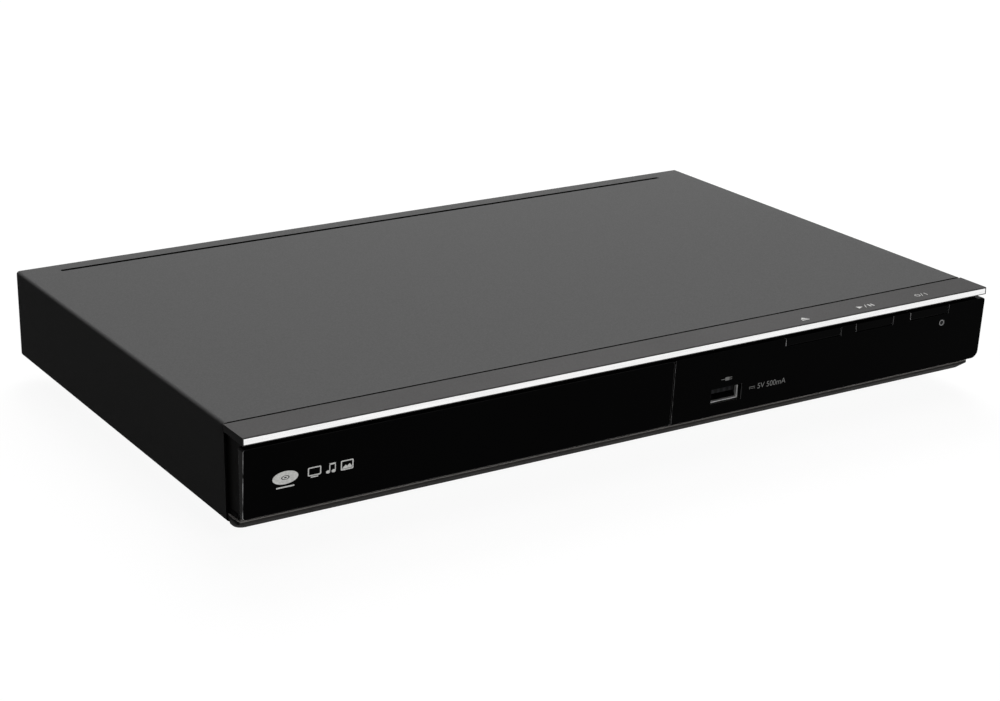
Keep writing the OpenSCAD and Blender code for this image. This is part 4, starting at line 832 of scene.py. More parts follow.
class PLAYER_OT_marks(Operator):
    """Print the plain marks on the strip and on the gloss front"""

    bl_idname = "player.marks"
    bl_label = "Printed Marks"

    def execute(self, context):
        look = context.scene.player_front
        ink = inked("front_ink", look.print_ink, metallic=1.0)
        self.strip_marks(inked("strip_ink", tone(look.print_ink, 1.35)))
        self.door_marks(ink)
        self.socket_marks(inked("socket_ink", tone(look.print_ink, 0.3), metallic=1.0))
        return {"FINISHED"}

    def strip_marks(self, ink):
        """Open, play and pause, and on and off."""
        bm = bmesh.new()
        slash = [(-0.75, -1.1), (-0.5, -1.1), (0.6, 1.1), (0.35, 1.1)]
        open_at = strip_at(71.2, -99.9)
        self.flat(bm, open_at, [(-1.3, -0.1), (1.3, -0.1), (0, 1.3)])
        self.bars(bm, open_at, (0, -0.75, 2.6, 0.5))
        play_at = strip_at(100.6, -99.4)
        self.flat(bm, play_at, [(-3.2, -0.95), (-1.2, 0), (-3.2, 0.95)], slash)
        self.bars(bm, play_at, (1.45, 0, 0.55, 1.9), (2.6, 0, 0.55, 1.9))
        power_at = strip_at(127.8, -99.2)
        ring_sector(bm, (-1.4, 0), 0.95, 0.68, power_at, PRINT, start=120, sweep=300)
        self.flat(bm, power_at, [(x + 0.4, y) for x, y in slash])
        self.bars(bm, power_at, (-1.4, 0.75, 0.26, 0.9), (1.9, 0, 0.3, 1.9))
        settle("strip_marks", bm, [ink], "casing")

    def door_marks(self, ink):
        """A disc seen at a slant, and a screen, a note and a picture in a row."""
        bm = bmesh.new()
        disc_at = face_at(-141, 25.4)
        for outer, inner in ((4.6, 1.5), (1.1, 0.5)):
            ring_sector(bm, (0, 0.7), outer, inner, disc_at, PRINT, squeeze=0.5)
        self.bars(bm, disc_at, (0, -2.6, 6.4, 0.5))
        row_at = face_at(-124.8, 26)
        for x, y, width, height, radius in ((-5.8, 0.2, 4.8, 3.1, 0.5), (6, 0, 4.6, 3.5, 0.4)):
            outline = rounded(x, y, width, height, radius)
            hollow(bm, outline, rounded(x, y, width - 0.8, height - 0.8, radius / 2), row_at, PRINT)
        self.bars(bm, row_at, (-5.8, -1.75, 2.6, 0.4))
        for x in (-0.9, 1.1):
            ring_sector(bm, (x, -1.15), 0.75, 0.02, row_at, PRINT, squeeze=0.75)
            self.bars(bm, row_at, (x + 0.6, 0.2, 0.32, 2.7))
        beam = [(-0.46, 1.2), (1.86, 1.2), (1.86, 1.75), (-0.46, 1.75)]
        hills = [
            (4.3, -1.2), (7.7, -1.2), (7.7, -0.5), (6.9, 0.35), (6.1, -0.4), (5.5, 0.1),
            (4.3, -0.9),
        ]
        self.flat(bm, row_at, beam, hills)
        settle("door_marks", bm, [ink], "tray")

    def socket_marks(self, ink):
        """A plug above the socket and its rating at its right."""
        bm = bmesh.new()
        plug_at = face_at(34.8, 27.6)
        self.flat(bm, plug_at, rounded(-0.5, 0, 1.9, 1.3, 0.25))
        self.bars(bm, plug_at, *((1.05, y, 1.1, 0.25) for y in (-0.35, 0.35)))
        self.bars(bm, plug_at, (-2.3, 0, 1.7, 0.22))
        rating_at = face_at(46, 22)
        self.bars(bm, rating_at, (0, 0.3, 2.6, 0.22), *((x, -0.35, 0.6, 0.22) for x in (-1, 0, 1)))
        lettering(bm, "5V 500mA", 3.0, face_at(54.8, 22), PRINT)
        settle("socket_marks", bm, [ink], "casing")

    def flat(self, bm, at, *outlines):
        """Ink within each outline."""
        for outline in outlines:
            prism(bm, outline, at, PRINT)

    def bars(self, bm, at, *bars):
        """Bars of ink, each from its middle, its width and its height."""
        self.flat(bm, at, *(rectangle(*bar) for bar in bars))


class PLAYER_OT_front_socket(Operator):
    """Finish the front socket's shell and tongue"""

    bl_idname = "player.front_socket"
    bl_label = "Front Socket"

    def execute(self, context):
        shell = brushed("socket_shell", (0.88, 0.88, 0.87), 0.45, along=(0.05, 1, 1))
        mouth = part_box("usb_shell")[0].y
        # Painted shade: the shell is painted nearly black deeper than 1.5 mm inside its mouth.
        deep = within(shell, "Y", mouth + 1.5 * MM, ABOVE)
        set_socket(shell, "Base Color", mix_colours(shell, deep, (0.88, 0.88, 0.87), (0.02,) * 3))
        eased("usb_shell", shell, 0.06 * MM)
        tongue = finish("socket_tongue", (0.008,) * 3, 0.4, specular=0.04)
        turn = math.tau / (2.5 * MM)
        across = axis_of(tongue, coordinates(tongue), "X")
        wave = arithmetic(tongue, "SINE", arithmetic(tongue, "MULTIPLY", across, turn))
        pads = arithmetic(tongue, "GREATER_THAN", wave, 0.15)
        overlaid(tongue, pads, (0.02, 0.02, 0.022))
        dress(tongue, "usb_tongue")
        return {"FINISHED"}


class PLAYER_OT_underside(Operator):
    """Finish the chassis pan and its four pads"""

    bl_idname = "player.underside"
    bl_label = "Pan and Pads"

    def execute(self, context):
        zinc = context.scene.player_cover.zinc
        sheet = finish("pan_zinc", zinc, 0.36, metallic=1.0)
        spangle = cells(sheet, 0.009, feature="F1")
        mottled(sheet, spangle, zinc, 0.07, 0.0, 1.0)
        uneven(sheet, grain(sheet, 0.004, stretch=(1, 0.06, 1), detail=4), 0.28, 0.46)
        relief(sheet, grain(sheet, 0.0008, stretch=(1, 0.05, 1)), 0.000004, 0.4)
        dress(sheet, "chassis_pan")
        eased("foot_pads", rubbery("pad_rubber", (0.02, 0.02, 0.02)), 0.35 * MM, segments=3)
        return {"FINISHED"}


class PLAYER_OT_rear(Operator):
    """Finish the rear sheet and print its legends"""

    bl_idname = "player.rear"
    bl_label = "Rear Sheet"

    def execute(self, context):
        colour = context.scene.player_cover.rear_paint
        paint = finish("rear_paint", colour, 0.5, specular=0.4)
        fine = grain(paint, 0.0005, detail=3)
        mottled(paint, fine, colour, 0.12)
        relief(paint, fine, 0.00002, 0.5)
        dress(paint, "rear_panel")
        self.legends(inked("legend_ink", context.scene.player_back.ink))
        return {"FINISHED"}

    def legends(self, ink):
        """Generic words beside the sockets."""
        bm = bmesh.new()
        for words, x, z, size in (
            ("VIDEO", 57, 7.6, 2.6), ("L", 71, 7.6, 2.6), ("R", 85, 7.6, 2.6),
            ("AUDIO", 78, 10.4, 2.2), ("DIGITAL OUT", 30, 2.2, 2.4), ("AC IN ~", 127, 10.4, 2.8),
        ):
            lettering(bm, words, size, sheet_at(x, z), PRINT)
        for x in (71.5, 84.5):
            prism(bm, rectangle(0, 0, 0.25, 1.2), sheet_at(x, 10), PRINT)
        settle("rear_legends", bm, [ink], "casing")


class PLAYER_OT_sockets(Operator):
    """Finish the jacks, the digital socket and the mains inlet"""

    bl_idname = "player.sockets"
    bl_label = "Rear Sockets"

    def execute(self, context):
        look = context.scene.player_back
        black = moulded("socket_plastic", (0.017, 0.017, 0.018), 0.42)
        dress(black, "jack_block", "mains_inlet")
        plated = finish(
            "jack_plating", (0.66, 0.66, 0.64), 0.2, metallic=1.0,
            mottle=(0.002, 2, 0.06), sheen=(0.001, 4, 0.14, 0.28),
        )
        dress(plated, "jack_sleeves")
        dress(brushed("pin_plating", (0.72, 0.71, 0.68), 0.22, along=(1, 0.05, 1)), "inlet_pins")
        insert = finish("jack_inserts", look.picture, 0.38, specular=0.45)
        for factor, colour in (
            (within(insert, "X", 64 * MM, 78 * MM), look.left_sound),
            (within(insert, "X", 78 * MM, 99 * MM), look.right_sound),
            (spread(insert, grain(insert, 0.002, detail=4), 0.3, 0.7, 0.0, 0.12), (0.02,) * 3),
        ):
            overlaid(insert, factor, colour)
        dress(insert, "jack_inserts")
        shell = finish("digital_shell", (0.66, 0.66, 0.65), 0.26, metallic=1.0)
        uneven(shell, grain(shell, 0.002, stretch=(1, 0.1, 1), detail=4), 0.18, 0.34)
        low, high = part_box("hdmi_socket")
        tongue = 1.0
        for axis, start, end in (
            ("X", low.x + 1.5 * MM, high.x - 1.5 * MM),
            ("Y", low.y + 1.0 * MM, high.y - 1.0 * MM),
            ("Z", low.z + 1.9 * MM, low.z + 3.9 * MM),
        ):
            tongue = arithmetic(shell, "MULTIPLY", tongue, within(shell, axis, start, end))
        overlaid(shell, tongue, (0.01,) * 3)
        set_socket(shell, "Metallic", spread(shell, tongue, 0, 1, 1, 0))
        dress(shell, "hdmi_socket")
        return {"FINISHED"}


class PLAYER_OT_tray(Operator):
    """Finish the disc tray"""

    bl_idname = "player.tray"
    bl_label = "Disc Tray"

    def execute(self, context):
        colour = context.scene.player_loader.tray
        satin = moulded("tray_satin", colour, 0.4, specular=0.4, texture=0.0004)
        dress(satin, "disc_tray")
        return {"FINISHED"}


class PLAYER_OT_works(Operator):
    """Finish the loader, its gears, motors and the optical works"""

    bl_idname = "player.works"
    bl_label = "Loader and Works"

    def execute(self, context):
        look = context.scene.player_loader
        plain = moulded("loader_plastic", look.frame, 0.48, specular=0.35)
        dress(plain, "loader_frame", "clamper", "turntable")
        dress(moulded("cradle_plastic", (0.062, 0.062, 0.066), 0.5, specular=0.35), "cradle")
        natural = moulded("gear_plastic", look.gear, 0.36, texture=0.0009)
        dress(natural, "drive_gear", "belt_wheel", "motor_pulley", "cam_slider")
        zinc = context.scene.player_cover.zinc
        plate = brushed("plate_zinc", zinc, 0.32, along=(1, 0.04, 1))
        dress(plate, "clamp_bridge", "traverse_deck")
        steel = brushed("motor_steel", (0.52, 0.52, 0.53), 0.3, along=(1, 1, 0.06))
        dress(steel, "loading_motor", "spindle_motor", "sled_motor", "clamp_magnet")
        ground = brushed("ground_steel", (0.66, 0.66, 0.67), 0.16, along=(1, 0.04, 1))
        dress(ground, "guide_rods")
        self.lead_screw(ground, look.thread_depth)
        dress(self.pickup_finish(look.cast), "optical_pickup")
        glass = finish(
            "lens_glass", (0.36, 0.42, 0.72), 0.03, specular=0.7, Transmission_Weight=0.7,
            Coat_Weight=0.6, Coat_Tint=(0.45, 0.55, 1.0, 1.0),
        )
        mottled(glass, grain(glass, 0.002), (0.36, 0.42, 0.72), 0.1)
        self.lens(glass, moulded("lens_holder", (0.012, 0.012, 0.013), 0.4))
        for node in ("rubber_dampers", "drive_belt"):
            dress(rubbery(node + "_rubber", (0.018, 0.018, 0.018)), node)
        dress(rubbery("turntable_rubber", (0.07, 0.07, 0.07)), "turntable_pad")
        return {"FINISHED"}

    def lead_screw(self, metal, depth):
        """A rod with a helical groove between two plain ends."""
        low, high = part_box("lead_screw")
        radius, length = (high.x - low.x) / 2, high.y - low.y
        around, steps_a_turn, pitch, plain = 20, 8, 3 * MM, 3 * MM
        rows = int(length / pitch * steps_a_turn)
        at = plane_at(((low.x + high.x) / 2, low.y, (low.z + high.z) / 2), Z, X)
        bm = bmesh.new()
        rings = []
        for row in range(rows + 1):
            along = length * row / rows
            groove = depth if plain < along < length - plain else 0.0
            turn = math.tau * along / pitch
            ring = []
            for i, (c, s) in enumerate(circle(around)):
                r = radius - groove * max(0.0, math.cos(turn - math.tau * i / around))
                ring.append((r * c, r * s, along))
            rings.append(corners(bm, at, ring))
        skin(bm, rings, capped=True)
        stand_in("lead_screw", "_thread", bm, metal)

    def lens(self, glass, holder):
        """A domed lens in its black holder."""
        low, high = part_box("pickup_lens")
        middle = (low + high) / 2
        radius, height = (high.x - low.x) / 2, high.z - low.z
        at = Matrix.Translation((middle.x, middle.y, low.z))
        rim = radius * 0.72
        profile = [
            (0, 0), (radius, 0), (radius, height - 0.75 * MM),
            (radius - 0.3 * MM, height - 0.45 * MM), (rim, height - 0.45 * MM),
            (rim, height - 0.6 * MM), (rim * 0.8, height - 0.28 * MM),
            (rim * 0.5, height - 0.07 * MM), (0, height),
        ]
        bm = bmesh.new()
        faces = skin(bm, turned(bm, profile, at))
        for face in faces:
            inner = max(math.hypot(v.co.x - middle.x, v.co.y - middle.y) for v in face.verts)
            if inner < rim * 1.01 and min(v.co.z for v in face.verts) > high.z - 0.62 * MM:
                face.material_index = 1
        stand_in("pickup_lens", "_piece", bm, holder, glass)

    def pickup_finish(self, colour):
        """A grey casting with a black lens cover on top."""
        cast = finish("pickup_cast", tone(colour, 0.85), 0.45, metallic=0.9)
        rough = grain(cast, 0.0008, detail=4)
        overlaid(cast, spread(cast, rough, 0.3, 0.7), tone(colour, 1.1))
        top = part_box("optical_pickup")[1].z
        cover = within(cast, "Z", top - 1.58 * MM, ABOVE)
        overlaid(cast, cover, (0.014, 0.014, 0.015))
        set_socket(cast, "Metallic", spread(cast, cover, 0, 1, 0.9, 0))
        return relief(cast, rough, 0.00003, 0.6)


class PLAYER_OT_boards(Operator):
    """Finish the circuit boards and what stands on them"""

    bl_idname = "player.boards"
    bl_label = "Boards"

    def execute(self, context):
        look = context.scene.player_board
        for node, colour, axis in (
            ("main_board", look.mask, "Z"),
            ("front_board", look.mask, "Y"),
            ("power_board", look.phenolic, "Z"),
        ):
            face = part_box(node)[0]["XYZ".index(axis)] + BOARD_THICK
            dress(self.board_finish(node + "_mask", colour, axis, face), node)
        dress(brushed("sink_aluminium", (0.60, 0.61, 0.62), 0.35, along=(1, 1, 0.05)), "heat_sink")
        glass = finish("fuse_glass", (0.78, 0.8, 0.78), 0.1)
        low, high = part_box("fuse")
        middle = within(glass, "X", low.x + 5 * MM, high.x - 5 * MM)
        set_socket(glass, "Metallic", spread(glass, middle, 0, 1, 1, 0))
        mottled(glass, grain(glass, 0.002), (0.74, 0.75, 0.73), 0.08)
        dress(glass, "fuse")
        foil = finish("cable_foil", (0.78, 0.78, 0.75), 0.35, mottle=(0.004, 3, 0.05))
        dress(foil, "flat_cables")
        return {"FINISHED"}

    def board_finish(self, name, colour, axis, face):
        """Solder mask with tracks and pads, and pale connectors that stand on it."""
        mask = finish(name, colour, 0.32, specular=0.45)
        track = spread(mask, cells(mask, 0.0042), 0.03, 0.05, 1, 0)
        pads = spread(mask, cells(mask, 0.0026, feature="F1"), 0.10, 0.12, 1, 0)
        connector = within(mask, axis, face, ABOVE)
        overlaid(mask, track, tone(colour, 1.6))
        overlaid(mask, pads, (0.62, 0.62, 0.6))
        overlaid(mask, connector, (0.66, 0.61, 0.48))
        board = arithmetic(mask, "SUBTRACT", 1.0, connector)
        set_socket(mask, "Metallic", arithmetic(mask, "MULTIPLY", pads, board))
        return relief(mask, track, 0.00003, 0.5)


class PLAYER_OT_capacitors(Operator):
    """Build the sleeved capacitors of both boards"""

    bl_idname = "player.capacitors"
    bl_label = "Capacitors"

    def execute(self, context):
        sleeve = finish(
            "capacitor_sleeve", (0.012, 0.014, 0.03), 0.3, sheen=(0.003, 2, 0.24, 0.38),
        )
        stripe = inked("capacitor_stripe", (0.34, 0.36, 0.40))
        top = brushed("capacitor_top", (0.66, 0.66, 0.66), 0.3, along=(1, 1, 1))
        for node in ("board_capacitors", "mains_capacitor"):
            rebuilt(node, self.can, sleeve, stripe, top)
        return {"FINISHED"}

    def can(self, bm, points):
        """One can with a rolled groove, a pale stripe and a scored top."""
        low, high = box_of(points)
        radius, height = (high.x - low.x) / 2, high.z - low.z
        at = Matrix.Translation(((low.x + high.x) / 2, (low.y + high.y) / 2, low.z))
        ease, rim, around = 0.35 * MM, radius - 0.9 * MM, 36
        profile = [
            (0, 0), (radius - ease, 0), (radius, ease), (radius, 1.5 * MM),
            (radius - ease, 2.0 * MM), (radius, 2.5 * MM), (radius, height - ease),
            (radius - ease, height), (rim, height), (rim, height - 0.15 * MM),
            (0, height - 0.15 * MM),
        ]
        faces = skin(bm, turned(bm, profile, at, around))
        bands = len(profile) - 1
        for place, face in enumerate(faces):
            band, step = divmod(place, around)
            if band == bands - 1:
                face.material_index = 2
            elif 2 <= band <= 5 and step < around // 6:
                face.material_index = 1
        arm, half = rim * 0.75, 0.14 * MM
        top = at @ Matrix.Translation((0, 0, height - 0.15 * MM))
        prism(bm, cross(arm, half), top, 0.04 * MM)


class PLAYER_OT_chips(Operator):
    """Build the main board's chips with their leads"""

    bl_idname = "player.chips"
    bl_label = "Chips"

    def execute(self, context):
        epoxy = moulded("chip_epoxy", (0.014, 0.014, 0.015), 0.5, texture=0.0003)
        tin = finish(
            "lead_tin", (0.60, 0.60, 0.58), 0.28, metallic=1.0, sheen=(0.0006, 2, 0.2, 0.38),
        )
        dot = inked("chip_dot", (0.16, 0.16, 0.16))
        rebuilt("board_chips", self.chip, epoxy, tin, dot)
        return {"FINISHED"}

    def chip(self, bm, points):
        """A body with drafted sides, and leads on two or four of them."""
        low, high = box_of(points)
        reach, draft = 1.0 * MM, 0.15 * MM
        size, middle = high - low, (low + high) / 2
        wide, deep = size.x - 2 * reach, size.y - 2 * reach
        at = Matrix.Translation((middle.x, middle.y, low.z))
        small = rectangle(0, 0, wide - 2 * draft, deep - 2 * draft)
        full = rectangle(0, 0, wide, deep)
        loft(bm, [(small, 0.12 * MM), (full, size.z * 0.5), (small, size.z)], at)
        corner = Matrix.Translation((-wide / 2 + 1.6 * MM, -deep / 2 + 1.6 * MM, size.z))
        prism(bm, rounded(0, 0, 1.1 * MM, 1.1 * MM, 0.5 * MM), at @ corner, 0.02 * MM, 2)
        square = wide - deep < 3 * MM
        pitch, bare_ends = (0.8 if square else 1.27) * MM, 2 * MM
        for turn, run, far in ((0, wide, deep), (1, deep, wide), (2, wide, deep), (3, deep, wide)):
            if turn % 2 and not square:
                continue
            side = at @ Matrix.Rotation(math.tau * turn / 4, 4, "Z")
            count = int((run - bare_ends) / pitch)
            for i in range(count):
                self.lead(bm, side, (i - (count - 1) / 2) * pitch, far / 2, size.z, reach)

    def lead(self, bm, side, along, edge, height, reach):
        """One bent lead that leaves the body half way up and stands on the board."""
        h, t, width = height * 0.5, 0.15 * MM, 0.3 * MM
        profile = [
            (0, h + t), (reach * 0.35, h + t), (reach * 0.62, t), (reach, t), (reach, 0),
            (reach * 0.5, 0), (reach * 0.25, h), (0, h),
        ]
        start = side @ plane_at((along - width / 2, -edge, 0), -Y, Z)
        prism(bm, profile, start @ Matrix.Translation((0, 0, -width)), width, 1)


class PLAYER_OT_transformer(Operator):
    """Build the switching transformer"""

    bl_idname = "player.transformer"
    bl_label = "Transformer"

    def execute(self, context):
        ferrite = finish(
            "transformer_ferrite", (0.04, 0.038, 0.036), 0.55, mottle=(0.0008, 4, 0.3),
        )
        tape = finish("transformer_tape", (0.60, 0.41, 0.04), 0.3)
        mottled(tape, grain(tape, 0.0006, stretch=(0.2, 0.2, 1)), (0.60, 0.41, 0.04), 0.12)
        low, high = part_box("transformer")
        plate, leg, ease = 3 * MM, 1.9 * MM, 0.3 * MM
        bm = bmesh.new()
        block(bm, low, Vector((high.x, high.y, low.z + plate)), ease)
        block(bm, Vector((low.x, low.y, high.z - plate)), high, ease)
        for y in (low.y, high.y - leg):
            block(
                bm, Vector((low.x, y, low.z + plate)),
                Vector((high.x, y + leg, high.z - plate)), 0.05 * MM,
            )
        middle = (low + high) / 2
        at = Matrix.Translation((middle.x, middle.y, low.z + plate + 0.05 * MM))
        top = high.z - low.z - 2 * plate - 0.1 * MM
        winding, corner = (22, 15.6), 4 * MM
        sections = []
        for share, inset in (
            (0, 0.5), (0.04, 0.5), (0.05, 0), (0.5, 0), (0.51, 0.12), (0.95, 0.12), (0.96, 0.5),
            (1, 0.5),
        ):
            wide, deep = ((side - 2 * inset) * MM for side in winding)
            sections.append((rounded(0, 0, wide, deep, corner), top * share))
        loft(bm, sections, at, 1)
        stand_in("transformer", "_set", bm, ferrite, tape)
        return {"FINISHED"}


class PLAYER_OT_small_parts(Operator):
    """Set small resistors and capacitors on the free places of the main board"""

    bl_idname = "player.small_parts"
    bl_label = "Small Board Parts"

    def execute(self, context):
        draw = random.Random(context.scene.player_board.seed)
        black = moulded("resistor_body", (0.016, 0.016, 0.018), 0.4, texture=0.0003)
        tan = moulded("ceramic_body", (0.36, 0.25, 0.15), 0.4, texture=0.0003)
        tin = finish(
            "part_tin", (0.62, 0.62, 0.60), 0.3, metallic=1.0, sheen=(0.0006, 2, 0.22, 0.4),
        )
        low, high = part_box("main_board")
        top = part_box("board_chips")[0].z
        obstacles = [self.surface(node) for node in (
            "main_board", "board_chips", "board_capacitors", "hdmi_socket", "jack_block",
            "flat_cables", "board_screws", "loader_frame",
        )]
        margin, apart, tries, most = 3 * MM, 2.6 * MM, 900, 90
        found = []
        bm = bmesh.new()
        for _ in range(tries):
            place = Vector((
                draw.uniform(low.x + margin, high.x - margin),
                draw.uniform(low.y + margin, high.y - margin),
                top,
            ))
            turned, tall = draw.random() < 0.5, draw.random() < 0.5
            near = any((place - other).length < apart for other in found)
            if near or not self.free(obstacles, place):
                continue
            found.append(place)
            self.part(bm, place, turned, tall)
            if len(found) == most:
                break
        finishes = [black, tan, tin]
        settle("board_small_parts", bm, finishes, "casing")
        return {"FINISHED"}

    def surface(self, node):
        """The node's faces, ready to be asked for hits."""
        mesh = frame["nodes"][node].data
        return BVHTree.FromPolygons(
            [v.co for v in mesh.vertices], [p.vertices for p in mesh.polygons]
        )

    def free(self, obstacles, place):
        """Whether only bare board lies under that place and round it."""
        half, over, level = 1.3 * MM, 25 * MM, 0.02 * MM
        for dx in (-half, 0, half):
            for dy in (-half, 0, half):
                above = Vector((place.x + dx, place.y + dy, place.z + over))
                hits = [tree.ray_cast(above, -Z)[0] for tree in obstacles]
                if abs(max(hit.z for hit in hits if hit) - place.z) > level:
                    return False
        return True

    def part(self, bm, place, turned, tall):
        """A body between two tinned ends."""
        at = Matrix.Translation(place)
        if turned:
            at = at @ Matrix.Rotation(math.radians(90), 4, "Z")
        height = (0.75 if tall else 0.4) * MM
        prism(bm, rectangle(0, 0, 1.1 * MM, 0.8 * MM), at, height, int(tall))
        for x in (-0.7 * MM, 0.7 * MM):
            prism(bm, rectangle(x, 0, 0.3 * MM, 0.84 * MM), at, height + 0.03 * MM, 2)


class PLAYER_OT_screws(Operator):
    """Build the cross-head screws of the casing, boards, loader and deck"""

    bl_idname = "player.screws"
    bl_label = "Screws"

    def execute(self, context):
        bright = brushed("screw_zinc", (0.62, 0.62, 0.60), 0.26, along=(1, 1, 1))
        black = finish(
            "screw_black", (0.03, 0.03, 0.032), 0.3, metallic=0.8,
            sheen=(0.0008, 4, 0.24, 0.42),
        )
        for node, metal in (
            ("rear_screws", black),
            ("board_screws", bright),
            ("loader_screws", bright),
            ("damper_screws", bright),
        ):
            rebuilt(node, self.screw, metal)
        return {"FINISHED"}

    def screw(self, bm, points):
        """One screw in the place of a plain one."""
        low, high = box_of(points)
        size = high - low
        axis = min(range(3), key=lambda i: len({round(p[i] / MM, 3) for p in points}))
        middle = (low + high) / 2
        sides = [i for i in range(3) if i != axis]
        head = max(size[i] for i in sides) / 2
        across = [math.hypot(*(p[i] - middle[i] for i in sides)) for p in points]
        far = [p[axis] for p, r in zip(points, across) if r > head * 0.97]
        outward = 1 if sum(far) / len(far) > middle[axis] else -1
        top = high[axis] if outward > 0 else low[axis]
        height = max(far) - min(far)
        shank = max(r for p, r in zip(points, across) if abs(p[axis] - top) > height + 1e-5)
        direction = Vector([outward if i == axis else 0 for i in range(3)])
        seat = middle.copy()
        seat[axis] = top
        matrix = plane_at(seat, X, Y * outward) if axis == 2 else plane_at(
            seat, Z.cross(direction), Z
        )
        self.turned_screw(bm, matrix, head, height, shank, size[axis])

    def turned_screw(self, bm, matrix, head, height, shank, length):
        """Pan head with a cross recess and a grooved shank, its top at the matrix's origin."""
        pitch = shank * 0.7
        step = -height - pitch * 0.5
        profile = [
            (head * 0.72, 0), (head * 0.9, -height * 0.14), (head, -height * 0.5),
            (head, -height), (shank, -height),
        ]
        while step - pitch > -length + shank * 0.5:
            profile += [(shank, step), (shank * 0.86, step - pitch * 0.5)]
            step -= pitch
        profile += [(shank, step), (shank * 0.45, -length), (0, -length)]
        rings = turned(bm, profile, matrix)
        skin(bm, rings)
        deep = min(height * 0.7, 1.1 * MM)
        recess = cross(head * 0.52, head * 0.13)
        edge = corners(bm, matrix, [(x, y, 0) for x, y in recess])
        floor = corners(bm, matrix, [(x * 0.7, y * 0.7, -deep) for x, y in recess])
        skin(bm, [edge, floor])
        bm.faces.new(floor)
        loops = []
        for ring in (rings[0], edge):
            for pair in zip(ring, ring[1:] + ring[:1]):
                loops.append(bm.edges.get(pair) or bm.edges.new(pair))
        bmesh.ops.triangle_fill(bm, edges=loops, use_beauty=True, use_dissolve=False)


# ---------------------------------------------------------------- studio


def seen_directly(owner):
    """1 for rays that show the background: from the camera, in gloss and through glass."""
    path = wired(owner, "LightPath")
    value = path["Is Camera Ray"]
    for other in ("Is Glossy Ray", "Is Transmission Ray"):
        value = arithmetic(owner, "MAXIMUM", value, path[other])
    return value


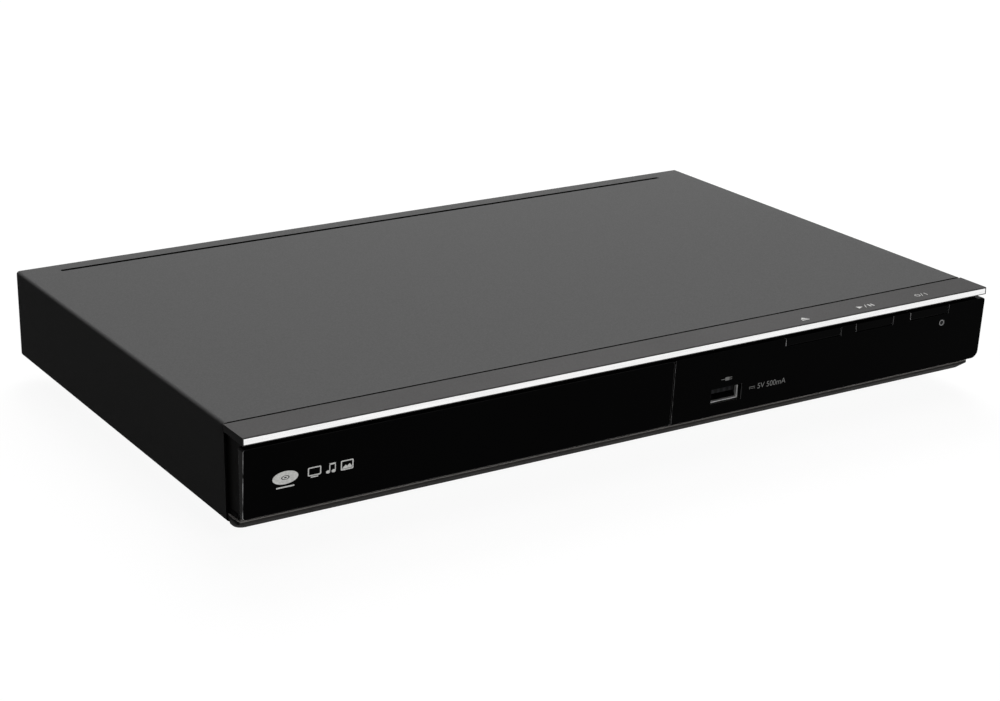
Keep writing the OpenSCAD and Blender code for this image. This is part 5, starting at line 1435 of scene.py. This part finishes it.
class PLAYER_OT_studio(Operator):
    """Lay the floor and set up the lamps, the sky and the camera"""

    bl_idname = "player.studio"
    bl_label = "Studio"

    def execute(self, context):
        look = context.scene.player_studio
        context.scene.view_settings.view_transform = "Standard"
        self.floor(look)
        self.sky(context.scene, look)
        self.lamp("key_lamp", (0.45, 0.85, 0.85), 0.9, look.key_power)
        self.lamp("top_lamp", (0.1, 0.1, 1.5), 0.8, look.top_power)
        self.lamp("front_lamp", (-0.15, -1.2, 0.55), 0.5, look.front_power)
        self.camera(context.scene, look)
        return {"FINISHED"}

    def floor(self, look):
        """A wide pale floor that takes the player's shadow."""
        bm = bmesh.new()
        bmesh.ops.create_grid(bm, x_segments=8, y_segments=8, size=4.0)
        mesh = bpy.data.meshes.new("studio_floor")
        bm.to_mesh(mesh)
        bm.free()
        placed("studio_floor", mesh)
        paper = bpy.data.materials.new("floor_paper")
        paper.use_nodes = True
        paper.node_tree.nodes.clear()
        seen = seen_directly(paper)
        shade = mix_colours(paper, seen, (look.floor_bounce,) * 3, (0.12,) * 3)
        matte = wired(paper, "BsdfDiffuse", {"Color": shade})
        glow = wired(paper, "Emission", {"Strength": arithmetic(paper, "MULTIPLY", seen, 0.92)})
        both = wired(paper, "AddShader", {0: matte[0], 1: glow[0]})
        under = wired(paper, "NewGeometry")["Backfacing"]
        clear = wired(paper, "BsdfTransparent")
        mixed = wired(paper, "MixShader", {0: under, 1: both[0], 2: clear[0]})
        wired(paper, "OutputMaterial", {"Surface": mixed[0]})
        mesh.materials.append(paper)

    def sky(self, scene, look):
        """White where it is seen, and an even light that comes mostly from above."""
        world = bpy.data.worlds.new("studio_sky")
        scene.world = world
        world.use_nodes = True
        world.node_tree.nodes.clear()
        height = axis_of(world, wired(world, "TexCoord")["Generated"], "Z")
        steep = wired(world, "Math", {0: height, 1: 2.0}, operation="POWER", use_clamp=True)
        rising = spread(world, steep[0], 0.0, 1.0, 0.03, 1.03)
        strength = arithmetic(world, "MULTIPLY", rising, look.sky)
        light = wired(world, "Background", {"Color": (1, 1, 1, 1), "Strength": strength})
        white = wired(world, "Background", {"Color": (1, 1, 1, 1)})
        mixed = wired(world, "MixShader", {0: seen_directly(world), 1: light[0], 2: white[0]})
        wired(world, "OutputWorld", {"Surface": mixed[0]})

    def lamp(self, name, place, size, power):
        """A square soft lamp aimed at the player."""
        data = bpy.data.lights.new(name, "AREA")
        data.shape = "SQUARE"
        data.size = size
        data.energy = power
        lamp = placed(name, data)
        lamp.location = place
        aim = Vector((0, 0, 0.02)) - Vector(place)
        lamp.rotation_mode = "QUATERNION"
        lamp.rotation_quaternion = aim.to_track_quat("-Z", "Y")

    def camera(self, scene, look):
        """The camera for a 1000 by 701 picture."""
        data = bpy.data.cameras.new("studio_camera")
        data.sensor_width = 36.0
        data.lens = look.lens
        data.clip_start, data.clip_end = 0.01, 50.0
        camera = placed("studio_camera", data)
        az, el, roll = look.azimuth, look.elevation, look.roll
        back = Vector((math.sin(az) * math.cos(el), -math.cos(az) * math.cos(el), math.sin(el)))
        right = Z.cross(back).normalized()
        up = back.cross(right)
        level = Matrix((right, up, back)).transposed()
        camera.matrix_world = (
            Matrix.Translation(Vector(look.target) + back * look.distance)
            @ (level @ Matrix.Rotation(roll, 3, "Z")).to_4x4()
        )
        scene.camera = camera


# ---------------------------------------------------------------- panel and registration


class PLAYER_PT_builder(Panel):
    """Lists the builders and what can be changed."""

    bl_label = "Disc Player"
    bl_idname = "PLAYER_PT_builder"
    bl_space_type = "VIEW_3D"
    bl_region_type = "UI"
    bl_category = "Disc Player"

    def draw(self, context):
        """Shows each builder, then each group of settings."""
        for builder in BUILDERS:
            self.layout.operator(builder.bl_idname)
        for name, group in SETTINGS.items():
            box = self.layout.box()
            box.label(text=group.__doc__.split(".")[0])
            for key in group.__annotations__:
                box.prop(getattr(context.scene, name), key)


SETTINGS = {
    "player_cover": CoverSettings,
    "player_front": FrontSettings,
    "player_back": BackSettings,
    "player_loader": LoaderSettings,
    "player_board": BoardSettings,
    "player_studio": StudioSettings,
}
BUILDERS = (
    PLAYER_OT_studio,
    PLAYER_OT_cover,
    PLAYER_OT_strip,
    PLAYER_OT_gloss_front,
    PLAYER_OT_frame,
    PLAYER_OT_keys,
    PLAYER_OT_marks,
    PLAYER_OT_front_socket,
    PLAYER_OT_underside,
    PLAYER_OT_rear,
    PLAYER_OT_sockets,
    PLAYER_OT_tray,
    PLAYER_OT_works,
    PLAYER_OT_boards,
    PLAYER_OT_capacitors,
    PLAYER_OT_chips,
    PLAYER_OT_transformer,
    PLAYER_OT_small_parts,
    PLAYER_OT_screws,
)


def register():
    """Makes the settings, builders and panel known to Blender."""
    for group in (*SETTINGS.values(), *BUILDERS, PLAYER_PT_builder):
        bpy.utils.register_class(group)
    for name, group in SETTINGS.items():
        setattr(bpy.types.Scene, name, PointerProperty(type=group))


def unregister():
    """Takes them away again."""
    for name in SETTINGS:
        delattr(bpy.types.Scene, name)
    for group in (PLAYER_PT_builder, *reversed(BUILDERS), *reversed(list(SETTINGS.values()))):
        bpy.utils.unregister_class(group)


def main():
    """Builds the whole player."""
    register()
    for builder in BUILDERS:
        family, name = builder.bl_idname.split(".")
        getattr(getattr(bpy.ops, family), name)()


if __name__ == "__main__":
    main()
